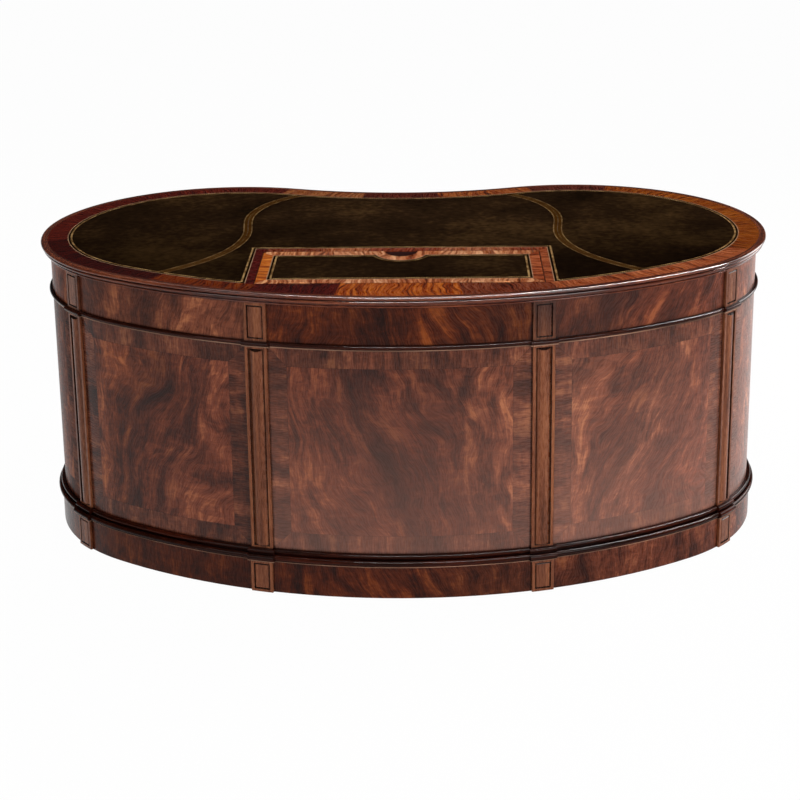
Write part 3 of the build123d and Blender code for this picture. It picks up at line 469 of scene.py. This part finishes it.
def cross_grain(tree, grain, tone):
    """Crossbanding cut from curly stock: a leaf's own tone, dark lines and waves of figure across it, and pores
    drawn coarse enough to show."""
    drift = add(tree, "TexNoise", {"Vector": grain, "Scale": 9.0, "Detail": 2.0}, out="Fac")
    drift = add(tree, "Math", drift, 0.06, operation="MULTIPLY")
    grain = add(tree, "VectorMath", grain, add(tree, "CombineXYZ", drift, 0.0, 0.0), operation="ADD")
    lines = streaks(tree, grain, 0.0085, 0.130, 3.0, 0.5, 0.2)
    pores = streaks(tree, grain, 0.0022, 0.030, 3.0, 0.6)
    figure = add(tree, "Mix", {"Factor": 0.2, 2: lines, 3: pores})
    shade = add(tree, "ValToRGB", figure, stops=((0.36, "#6A4230"), (0.48, "#C49A80"), (0.60, "#FFFFFF")))
    colour = add(tree, "Mix", {"Factor": 1.0, 6: tone, 7: shade}, out=2, data_type="RGBA",
                 blend_type="MULTIPLY")
    return colour, pores


material, tree, shader = finish_named("crossbanded_mahogany_top", Specular_IOR_Level=0.03)
run = add(tree, "Group", node_tree=run_group, out="run")
depth = add(tree, "Group", node_tree=run_group, out="depth")
place = add(tree, "TexCoord", out="Object")
x = add(tree, "SeparateXYZ", place, out="X")
y = add(tree, "SeparateXYZ", place, out="Y")
# Each leaf's tone, from the middle of the hollow round the left end, the front and the right end, and in the
# frame from left to right
round_edge = add(tree, "Math", run, 0.5 / HALF_RUN, 0.5, operation="MULTIPLY_ADD")
edge_tone = add(tree, "ValToRGB", round_edge, interpolation="CONSTANT", stops=(
    (0.0, "#5A2415"), (0.0225, "#966038"), (0.0685, "#5A1A0C"), (0.2685, "#3C0700"), (0.368, "#723006"),
    (0.422, "#4C0E05"), (0.468, "#AE5C20"), (0.530, "#7C4028"), (0.5755, "#AC643C"), (0.6995, "#925012"),
    (0.8755, "#5E2C20"), (0.9225, "#9C5A2C"), (0.979, "#5A2415")))
from_left = add(tree, "Math", x, 1.0, 0.5, operation="MULTIPLY_ADD")
frame_tone = add(tree, "ValToRGB", from_left, interpolation="CONSTANT", stops=(
    (0.0, "#520F07"), (0.155, "#7E4028"), (0.30, "#AC6C48"), (0.42, "#8E4630"), (0.60, "#AC7050"),
    (0.78, "#8C4830"), (0.849, "#9E5632")))
wide = add(tree, "Math", x, operation="ABSOLUTE")
in_frame = add(tree, "Math", add(tree, "Math", wide, SURROUND_HALF_WIDTH + CUT, operation="LESS_THAN"),
               within(tree, y, LID_FRONT_Y - 0.003, SURROUND_BACK_Y + CUT), operation="MULTIPLY")
at_side = add(tree, "Math", add(tree, "Math", wide, LID_HALF_WIDTH, operation="SUBTRACT"),
              add(tree, "Math", y, LID_BACK_Y, operation="SUBTRACT"), operation="GREATER_THAN")
frame_grain = add(tree, "Mix", {"Factor": at_side, 4: add(tree, "CombineXYZ", x, y, 3.0),
                                5: add(tree, "CombineXYZ", y, x, 4.0)}, out=1, data_type="VECTOR")
grain = add(tree, "Mix", {"Factor": in_frame, 4: add(tree, "CombineXYZ", run, depth, 2.0), 5: frame_grain},
            out=1, data_type="VECTOR")
tone = add(tree, "Mix", {"Factor": in_frame, 6: edge_tone, 7: frame_tone}, out=2, data_type="RGBA")
colour, pores = cross_grain(tree, grain, tone)
polish_with_crease_shade(tree, shader, colour, pores, "#1A0805")
dress(material, "top_crossband")

# Lid: a board crossbanded on its four sides, and round the finger notch, with mitred corners, in leaves paler
# than the frame's, partly in their own tone and partly as painted sheen. A plain leaf under it balances them.
# It hangs on two hinges along its visitor edge.
LEATHER_HALF_WIDTH = 0.321
LEATHER_FRONT_Y = -0.471 + PLAN_SHIFT
LEATHER_BACK_Y = -0.260 + PLAN_SHIFT
LID_UNDERSIDE = min(vertex.co.z for vertex in nodes["lid_board"].data.vertices)
material, tree, shader = finish_named("crossbanded_mahogany_lid", Specular_IOR_Level=0.03)
place = add(tree, "TexCoord", out="Object")
x = add(tree, "SeparateXYZ", place, out="X")
y = add(tree, "SeparateXYZ", place, out="Y")
past_side = add(tree, "Math", add(tree, "Math", x, operation="ABSOLUTE"), LEATHER_HALF_WIDTH,
                operation="SUBTRACT")
past_front = add(tree, "Math", LEATHER_FRONT_Y, y, operation="SUBTRACT")
past_back = add(tree, "Math", y, LEATHER_BACK_Y, operation="SUBTRACT")
at_side = add(tree, "Math", past_side, add(tree, "Math", past_front, past_back, operation="MAXIMUM"),
              operation="GREATER_THAN")
grain = add(tree, "Mix", {"Factor": at_side, 4: add(tree, "CombineXYZ", x, y, 5.0),
                          5: add(tree, "CombineXYZ", y, x, 6.0)}, out=1, data_type="VECTOR")
from_left = add(tree, "Math", x, 1.0, 0.5, operation="MULTIPLY_ADD")
side_tone = add(tree, "ValToRGB", from_left, interpolation="CONSTANT", stops=(
    (0.0, "#C47028"), (0.5, "#A85C36")))
# The long leaves are paler, partly in their own tone and partly as painted sheen
long_tone = add(tree, "ValToRGB", from_left, interpolation="CONSTANT", stops=(
    (0.0, "#D09468"), (0.28, "#C48660"), (0.37, "#D8A078"), (0.50, "#BE7A50"), (0.60, "#D29A72"),
    (0.74, "#C68A60")))
tone = add(tree, "Mix", {"Factor": at_side, 6: long_tone, 7: side_tone}, out=2, data_type="RGBA")
under = add(tree, "Math", add(tree, "SeparateXYZ", place, out="Z"), LID_UNDERSIDE + CUT, operation="LESS_THAN")
grain = add(tree, "Mix", {"Factor": under, 4: grain, 5: add(tree, "CombineXYZ", y, x, 7.0)}, out=1,
            data_type="VECTOR")
tone = add(tree, "Mix", {"Factor": under, 6: tone, 7: linear("#7A4630")}, out=2, data_type="RGBA")
colour, pores = cross_grain(tree, grain, tone)
polish_with_crease_shade(tree, shader, colour, pores, "#1A0805")
dress(material, "lid_board")

# Leathers of the top: three near black brown hides, glued down flush with the crossband, that meet at two
# S shaped seams. Aniline dye lets clouds of paler hide show through, and the middle of the sitter's side is
# worn the palest.
PEBBLE_WIDTH = 0.0022
PEBBLE_HEIGHT = 0.0003


def hide(name):
    """Aniline dyed hide: clouds of dye worn paler by use over a fine pebbled grain, quite dull. Real pebbles
    are half a millimetre across and are drawn coarser, to show."""
    material, tree, shader = finish_named(name, Roughness=0.5, Specular_IOR_Level=0.0)
    place = add(tree, "TexCoord", out="Object")
    clouds = add(tree, "TexNoise", {"Vector": place, "Scale": 3.2, "Detail": 6.0, "Roughness": 0.62}, out="Fac")
    specks = add(tree, "TexNoise", {"Vector": place, "Scale": 60.0, "Detail": 3.0}, out="Fac")
    wear = add(tree, "Mix", {"Factor": 0.3, 2: clouds, 3: specks})
    colour = add(tree, "ValToRGB", wear, stops=((0.36, "#110A05"), (0.50, "#21150B"), (0.66, "#3C2A16")))
    pebbles = add(tree, "TexVoronoi", {"Vector": place, "Scale": 1 / PEBBLE_WIDTH}, out="Distance")
    bump = add(tree, "Bump", {"Strength": 0.25, "Distance": PEBBLE_HEIGHT, "Height": pebbles})
    tree.links.new(bump, shader.inputs["Normal"])
    return material, tree, shader, colour


material, tree, shader, colour = hide("brown_black_hide")
place = add(tree, "TexCoord", out="Object")
sideways = add(tree, "Math", add(tree, "SeparateXYZ", place, out="X"), operation="ABSOLUTE")
worn = add(tree, "MapRange", add(tree, "SeparateXYZ", place, out="Y"), -0.25, 0.20, 0.50, 1.0)
worn = add(tree, "Math", worn, add(tree, "MapRange", sideways, 0.2, 0.7, 1.35, 0.95), operation="MULTIPLY")
colour = add(tree, "VectorMath", colour, worn, operation="MULTIPLY")
tree.links.new(colour, shader.inputs["Base Color"])
dress(material, "leather_left", "leather_centre", "leather_right")

# Leather of the lid: a piece of the same aniline dyed hide, glued into the lid's crossbanding. It lies out of
# reach of the sitter's arms, so its dye has stayed even.
material, tree, shader, colour = hide("brown_black_lid_hide")
tree.links.new(colour, shader.inputs["Base Color"])
dress(material, "lid_leather")

# Gilt tooling: borders pressed along every edge of each leather with a heated wheel through gold leaf, which has
# worn brown. The leather's edge carries one rope of short bars, and each side of a seam a band with a stained
# ground, a dotted inner line and a dashed outer line.
TOP_LEVEL = 0.780
LEATHER_INSET = 0.048
EDGE_BORDER_WIDTH = 0.0052
EDGE_BORDER_SET_IN = 0.0080
EDGE_THICKNESS = 0.0002
SEAM_BORDER_WIDTH = 0.0118
SEAM_THICKNESS = 0.0003
SEAM_GAP = 0.001
SEAM_OVERRUN = 0.06
SEAM_STEP = 0.003
SEAM_ROUNDINGS = 12
ROPE_PITCH = 0.0060  # a real wheel's bars stand about 2 mm apart, and are drawn this coarse to show
SHARPEST_MITRE = 0.3
LINE_STEP = 0.008


def tooled_hide(name, width, ropes, ground=None):
    """Hide with gilt ropes, each with its start and end in metres across the strip, how much of the pitch its
    bars take and how strong the gold is, and with a stained ground between two such places."""
    material, tree, shader, colour = hide(name)
    place = add(tree, "UVMap")
    along = add(tree, "SeparateXYZ", place, out="X")
    across = add(tree, "Math", add(tree, "SeparateXYZ", place, out="Y"), width / 2, width / 2,
                 operation="MULTIPLY_ADD")
    worn = add(tree, "TexNoise", {"Vector": add(tree, "TexCoord", out="Object"), "Scale": 40.0, "Detail": 4.0},
               out="Fac")
    if ground:
        stain = add(tree, "Math", within(tree, across, *ground),
                    add(tree, "MapRange", worn, 0.3, 0.7, 0.55, 0.95), operation="MULTIPLY")
        colour = add(tree, "Mix", {"Factor": stain, 6: colour, 7: linear("#43280B")}, out=2, data_type="RGBA")
    step = add(tree, "Math", add(tree, "Math", along, 1 / ROPE_PITCH, operation="MULTIPLY"), operation="FRACT")
    gold_share = 0.0
    for low, high, duty, strength in ropes:
        bars = add(tree, "Math", add(tree, "Math", step, duty, operation="LESS_THAN"),
                   within(tree, across, low, high), operation="MULTIPLY")
        gold_share = add(tree, "Math", bars, strength, gold_share, operation="MULTIPLY_ADD")
    gold_share = add(tree, "Math", gold_share, add(tree, "MapRange", worn, 0.3, 0.6, 0.6, 1.0),
                     operation="MULTIPLY")
    gold = add(tree, "ValToRGB", worn, stops=((0.4, "#825E36"), (0.6, "#B89260")))
    colour = add(tree, "Mix", {"Factor": gold_share, 6: colour, 7: gold}, out=2, data_type="RGBA")
    tree.links.new(colour, shader.inputs["Base Color"])
    tree.links.new(add(tree, "Math", gold_share, 0.25, operation="MULTIPLY"), shader.inputs["Metallic"])
    return material


def strip_along(name, points, width, material, body="desk", closed=False, thickness=EDGE_THICKNESS):
    """A thin strip bent from a straight one along a line on the top, with the length along it and its breadth
    in its UV map."""
    if closed:
        points = points + points[:1]
    grid = bmesh.new()
    bmesh.ops.create_grid(grid, x_segments=len(points) - 1, y_segments=1, size=1.0, calc_uvs=True)
    lengths = [0.0]
    for a, b in zip(points, points[1:]):
        lengths.append(lengths[-1] + (b - a).length)
    normals = []
    for i in range(len(points)):
        before = points[i - 1] if i else (points[-2] if closed else None)
        after = points[i + 1] if i + 1 < len(points) else (points[1] if closed else None)
        ways = [(b - a).normalized() for a, b in ((before, points[i]), (points[i], after))
                if a is not None and b is not None]
        squares = [Vector((-way.y, way.x)) for way in ways]
        middle = sum(squares, Vector((0.0, 0.0))).normalized()
        normals.append(middle / max(SHARPEST_MITRE, middle.dot(squares[0])))
    marks = {}
    for vertex in grid.verts:
        i = round((vertex.co.x + 1) / 2 * (len(points) - 1))
        marks[vertex] = (lengths[i], vertex.co.y)
        place = points[i] + normals[i] * vertex.co.y * width / 2
        vertex.co = (place.x, place.y, TOP_LEVEL + thickness)
    layer = grid.loops.layers.uv.verify()
    for face in grid.faces:
        for loop in face.loops:
            loop[layer].uv = marks[loop.vert]
    bmesh.ops.recalc_face_normals(grid, faces=grid.faces[:])
    if grid.faces[:][0].normal.z < 0:
        bmesh.ops.reverse_faces(grid, faces=grid.faces[:])
    bmesh.ops.solidify(grid, geom=grid.faces[:], thickness=thickness)
    mesh = bpy.data.meshes.new(name)
    grid.to_mesh(mesh)
    grid.free()
    mesh.materials.append(material)
    piece = bpy.data.objects.new(name, mesh)
    bpy.context.scene.collection.objects.link(piece)
    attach(piece, body)


def mirrored(points):
    """Points of the right half of the top, run on through their mirror images in the left half. A point on the
    middle line stays single."""
    return points + [Vector((-point.x, point.y)) for point in reversed(points) if point.x > CUT]


def plan_point(run, depth):
    """A point of the top by its run along the desk's outline, from the middle of the front, and its depth."""
    side, run = (1 if run >= 0 else -1), abs(run)
    if run <= FRONT_RUN:
        turn, reach = run / FRONT_RADIUS, FRONT_RADIUS + depth
        return Vector((side * reach * math.sin(turn), FRONT_Y - reach * math.cos(turn) + PLAN_SHIFT))
    if run <= END_RUN:
        turn, reach = FRONT_TURN + (run - FRONT_RUN) / END_RADIUS, END_RADIUS + depth
        return Vector((side * (END_X + reach * math.sin(turn)), -reach * math.cos(turn) + PLAN_SHIFT))
    turn, reach = (HALF_RUN - run) / HOLLOW_RADIUS, HOLLOW_RADIUS - depth
    return Vector((side * reach * math.sin(turn), HOLLOW_Y - reach * math.cos(turn) + PLAN_SHIFT))


def plan_line(first, last, depth):
    """Points along the desk's outline between two runs, at a depth."""
    count = max(2, int(abs(last - first) / LINE_STEP))
    return [plan_point(first + (last - first) * i / count, depth) for i in range(count + 1)]


def run_and_depth_at(point):
    """The run along the desk's outline nearest to a point of the top, and how far outside it the point is."""
    wide, y = abs(point[0]), point[1] - PLAN_SHIFT
    front_turn, hollow_turn = math.atan2(wide, FRONT_Y - y), math.atan2(wide, HOLLOW_Y - y)
    if y < 0 and front_turn < FRONT_TURN:
        run, depth = FRONT_RADIUS * front_turn, math.hypot(wide, FRONT_Y - y) - FRONT_RADIUS
    elif y > 0 and hollow_turn < HOLLOW_TURN:
        run, depth = HALF_RUN - HOLLOW_RADIUS * hollow_turn, HOLLOW_RADIUS - math.hypot(wide, HOLLOW_Y - y)
    else:
        run = FRONT_RUN + END_RADIUS * (math.atan2(y, wide - END_X) + math.pi / 2 - FRONT_TURN)
        depth = math.hypot(wide - END_X, y) - END_RADIUS
    return math.copysign(run, point[0]), depth


def seam_line(name, offset):
    """Points a few millimetres apart along the seam edge of an end leather, from the sitter side to the visitor
    side, moved to its left by an offset and run on past its ends."""
    edge = {(round(v.co.x, 5), round(v.co.y, 5)) for v in nodes[name].data.vertices
            if v.co.z > TOP_LEVEL - 0.0001 and run_and_depth_at(v.co)[1] < -LEATHER_INSET - CUT}
    edge = [Vector(point) for point in sorted(edge, key=lambda point: -point[1])]
    edge.insert(0, edge[0] + (edge[0] - edge[1]).normalized() * SEAM_OVERRUN)
    edge.append(edge[-1] + (edge[-1] - edge[-2]).normalized() * SEAM_OVERRUN)
    line = []
    for a, b in zip(edge, edge[1:]):
        count = max(1, round((b - a).length / SEAM_STEP))
        line += [a.lerp(b, i / count) for i in range(count)]
    line.append(edge[-1])
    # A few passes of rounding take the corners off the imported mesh's short chords
    for _ in range(SEAM_ROUNDINGS):
        line = [line[0]] + [(a + b * 2 + c) / 4 for a, b, c in zip(line, line[1:], line[2:])] + [line[-1]]
    ways = [(line[min(i + 1, len(line) - 1)] - line[max(i - 1, 0)]).normalized() for i in range(len(line))]
    return [point + Vector((-way.y, way.x)) * offset for point, way in zip(line, ways)]


edge_tooling = tooled_hide("gilt_rope_border", EDGE_BORDER_WIDTH,
                           ((0.0004, 0.0048, 0.46, 1.0), (0.0040, 0.0048, 1.1, 0.15)))
seam_tooling = tooled_hide("gilt_seam_border", SEAM_BORDER_WIDTH,
                           ((0.0, 0.0010, 0.5, 0.30), (0.0086, 0.0114, 0.5, 0.65)), ground=(0.0004, 0.0084))

border_depth = -LEATHER_INSET - EDGE_BORDER_SET_IN
for side, name in ((-1, "left"), (1, "right")):
    for way, which in ((side, "outer"), (-side, "inner")):
        offset = way * SEAM_BORDER_WIDTH / 2 + (way - side) / 2 * SEAM_GAP
        line = [p for p in seam_line("leather_" + name, offset) if run_and_depth_at(p)[1] < border_depth]
        strip_along("tooled_seam_%s_%s" % (name, which), line if way > 0 else line[::-1], SEAM_BORDER_WIDTH,
                    seam_tooling, thickness=SEAM_THICKNESS)
        far, near = run_and_depth_at(line[0])[0], run_and_depth_at(line[-1])[0]
        if which == "outer":
            strip_along("tooled_border_end_" + name, plan_line(far, near, border_depth), EDGE_BORDER_WIDTH,
                        edge_tooling)
# The middle leather's border: along the hollow, and along the front as far as the frame round the lid
strip_along("tooled_border_hollow", mirrored(plan_line(far, HALF_RUN, border_depth)), EDGE_BORDER_WIDTH,
            edge_tooling)
frame_out = SURROUND_HALF_WIDTH + EDGE_BORDER_SET_IN
frame_back = SURROUND_BACK_Y + EDGE_BORDER_SET_IN
corner_run = math.asin(frame_out / (FRONT_RADIUS + border_depth)) * FRONT_RADIUS
strip_along("tooled_border_round_lid", mirrored(plan_line(near, corner_run, border_depth)
                                                + [Vector((frame_out, frame_back))]),
            EDGE_BORDER_WIDTH, edge_tooling)

# The lid leather's border, which bends round the finger notch
NOTCH_LEATHER_HALF_WIDTH = 0.069
NOTCH_LEATHER_DEPTH = 0.086
NOTCH_POINTS = 24


def lid_outline(inset):
    """Points round the lid's leather, a distance in from its edge."""
    wide, front, back = LEATHER_HALF_WIDTH - inset, LEATHER_FRONT_Y + inset, LEATHER_BACK_Y - inset
    half, deep = NOTCH_LEATHER_HALF_WIDTH + inset, NOTCH_LEATHER_DEPTH + inset
    start = math.asin((LID_BACK_Y - back) / deep)
    turns = [start + (math.pi - 2 * start) * i / NOTCH_POINTS for i in range(NOTCH_POINTS + 1)]
    bend = [Vector((half * math.cos(turn), LID_BACK_Y - deep * math.sin(turn))) for turn in turns]
    return [Vector((wide, back))] + bend + [Vector((-wide, back)), Vector((-wide, front)),
                                            Vector((wide, front))]


strip_along("tooled_border_lid", lid_outline(EDGE_BORDER_SET_IN), EDGE_BORDER_WIDTH, edge_tooling, body="lid",
            closed=True)

# Stringing: a line of boxwood let in between the crossbanding and the leather. It was scraped and polished
# with the veneers, and the close grain keeps it pale and even.
STRINGING_WIDTH = 0.0016
stringing, tree, shader = finish_named("boxwood_stringing", Roughness=0.4, Specular_IOR_Level=0.1)
grain = streaks(tree, add(tree, "UVMap"), 0.6, 0.02, 3.0)
tree.links.new(add(tree, "ValToRGB", grain, stops=((0.35, "#8A6244"), (0.65, "#B89470"))),
               shader.inputs["Base Color"])
edge_line = plan_line(corner_run, HALF_RUN, -LEATHER_INSET + STRINGING_WIDTH / 2)
inlay_out = SURROUND_HALF_WIDTH - STRINGING_WIDTH / 2
inlay_back = SURROUND_BACK_Y - STRINGING_WIDTH / 2
inlay_front = plan_point(math.asin(inlay_out / (FRONT_RADIUS - LEATHER_INSET)) * FRONT_RADIUS, -LEATHER_INSET)
strip_along("stringing_outline", mirrored(edge_line), STRINGING_WIDTH, stringing)
strip_along("stringing_round_lid", mirrored([inlay_front, Vector((inlay_out, inlay_back))]), STRINGING_WIDTH,
            stringing)
strip_along("stringing_lid", lid_outline(-STRINGING_WIDTH / 2), STRINGING_WIDTH, stringing, body="lid",
            closed=True)

# Brasses: cast and turned knobs, roses, keyhole plates and cable rings, screwed or pinned on, lacquered and
# gone brown in the hollows.
PATINA_REACH = 0.006
material, tree, shader = finish_named("antiqued_brass", Metallic=1.0)
place = add(tree, "TexCoord", out="Object")
patina = add(tree, "TexNoise", {"Vector": place, "Scale": 90.0, "Detail": 5.0}, out="Fac")
crevice = add(tree, "AmbientOcclusion", {"Distance": PATINA_REACH}, out="AO", samples=6)
crevice = add(tree, "MapRange", crevice, 0.2, 0.8, 0.8, 0.0)
colour = add(tree, "ValToRGB", patina, stops=((0.35, "#8A6A34"), (0.6, "#B08E50")))
colour = add(tree, "Mix", {"Factor": crevice, 6: colour, 7: linear("#3A2A14")}, out=2, data_type="RGBA")
tree.links.new(colour, shader.inputs["Base Color"])
tree.links.new(add(tree, "MapRange", patina, 0.3, 0.7, 0.22, 0.42), shader.inputs["Roughness"])
dress(material, "cable_grommets", *[drawer + "_brasses" for drawer in drawers])

# Lid hinges: drawn brass butts and pins, screwed into the edges of the lid and its frame, and gone nearly as
# brown as the wood they are let into.
material, tree, shader = finish_named("browned_hinge_brass", Metallic=1.0)
patina = add(tree, "TexNoise", {"Vector": add(tree, "TexCoord", out="Object"), "Scale": 120.0, "Detail": 4.0},
             out="Fac")
tree.links.new(add(tree, "ValToRGB", patina, stops=((0.35, "#2A160C"), (0.65, "#4C2E1A"))),
               shader.inputs["Base Color"])
tree.links.new(add(tree, "MapRange", patina, 0.3, 0.7, 0.35, 0.5), shader.inputs["Roughness"])
dress(material, "lid_hinge_fixed_leaves", "lid_hinge_moving_leaves", "lid_hinge_pins")

# Drawer boxes, runners and pedestal floors: plain hardwood boards, planed, waxed and not stained, so they are
# pale and dull beside the mahogany. Their pores are drawn coarse enough to show.
material, tree, shader = finish_named("waxed_carcase_wood", Roughness=0.5, Specular_IOR_Level=0.3)
place = add(tree, "TexCoord", out="Object")
turned = add(tree, "Mapping", {"Vector": place, "Rotation": (0.0, 0.0, math.pi / 2)})
broad = streaks(tree, turned, 0.05, 0.4, 5.0, 0.6, 0.4)
pores = streaks(tree, turned, 0.003, 0.05, 3.0)
figure = add(tree, "Mix", {"Factor": 0.4, 2: broad, 3: pores})
plain = add(tree, "ValToRGB", figure, stops=((0.34, "#7C4E2E"), (0.5, "#A4744A"), (0.66, "#BC9066")))
tree.links.new(plain, shader.inputs["Base Color"])
bump = add(tree, "Bump", {"Strength": 0.1, "Distance": PORE_DEPTH, "Height": pores})
tree.links.new(bump, shader.inputs["Normal"])
dress(material, "centre_drawer_runners", "left_pedestal_base", "right_pedestal_base",
      *[drawer + "_box" for drawer in drawers])

# Boards between the drawers: the same waxed hardwood, housed in the pedestal sides and lipped with mahogany
# along the edge that shows.
LIPPING = 0.030
material = material.copy()
material.name = "mahogany_lipped_carcase_wood"
tree, shader = material.node_tree, material.node_tree.nodes["Principled BSDF"]
plain = shader.inputs["Base Color"].links[0].from_socket
lip = add(tree, "Mix", {"Factor": 1.0, 6: plain, 7: linear("#9A6A50")}, out=2, data_type="RGBA",
          blend_type="MULTIPLY")
at_edge = add(tree, "Math", add(tree, "Group", node_tree=run_group, out="depth"), -LIPPING,
              operation="GREATER_THAN")
colour = add(tree, "Mix", {"Factor": at_edge, 6: plain, 7: lip}, out=2, data_type="RGBA")
tree.links.new(colour, shader.inputs["Base Color"])
dress(material, "left_pedestal_dividers", "right_pedestal_dividers")

# Cable well and the board under the veneers: hardwood coloured a dark red, where the finger notch and the open
# lid show it, and left unpolished.
material, tree, shader = finish_named("dark_red_well_wood", Roughness=0.5, Specular_IOR_Level=0.1)
place = add(tree, "TexCoord", out="Object")
turned = add(tree, "Mapping", {"Vector": place, "Rotation": (0.0, 0.0, math.pi / 2)})
broad = streaks(tree, turned, 0.03, 0.3, 5.0, 0.6, 0.4)
tree.links.new(add(tree, "ValToRGB", broad, stops=((0.36, "#240906"), (0.64, "#43160D"))),
               shader.inputs["Base Color"])
dress(material, "cable_well", "top_core")

# Floor glides: discs moulded of brown nylon and nailed under the plinth and the kneehole walls, so that the
# desk slides without marking the floor. They are dull, and speckled by scuffs.
material, tree, shader = finish_named("brown_nylon", Roughness=0.5)
speckle = add(tree, "TexNoise", {"Vector": add(tree, "TexCoord", out="Object"), "Scale": 200.0}, out="Fac")
tree.links.new(add(tree, "ValToRGB", speckle, stops=((0.4, "#221A16"), (0.6, "#30261F"))),
               shader.inputs["Base Color"])
dress(material, "floor_glides")
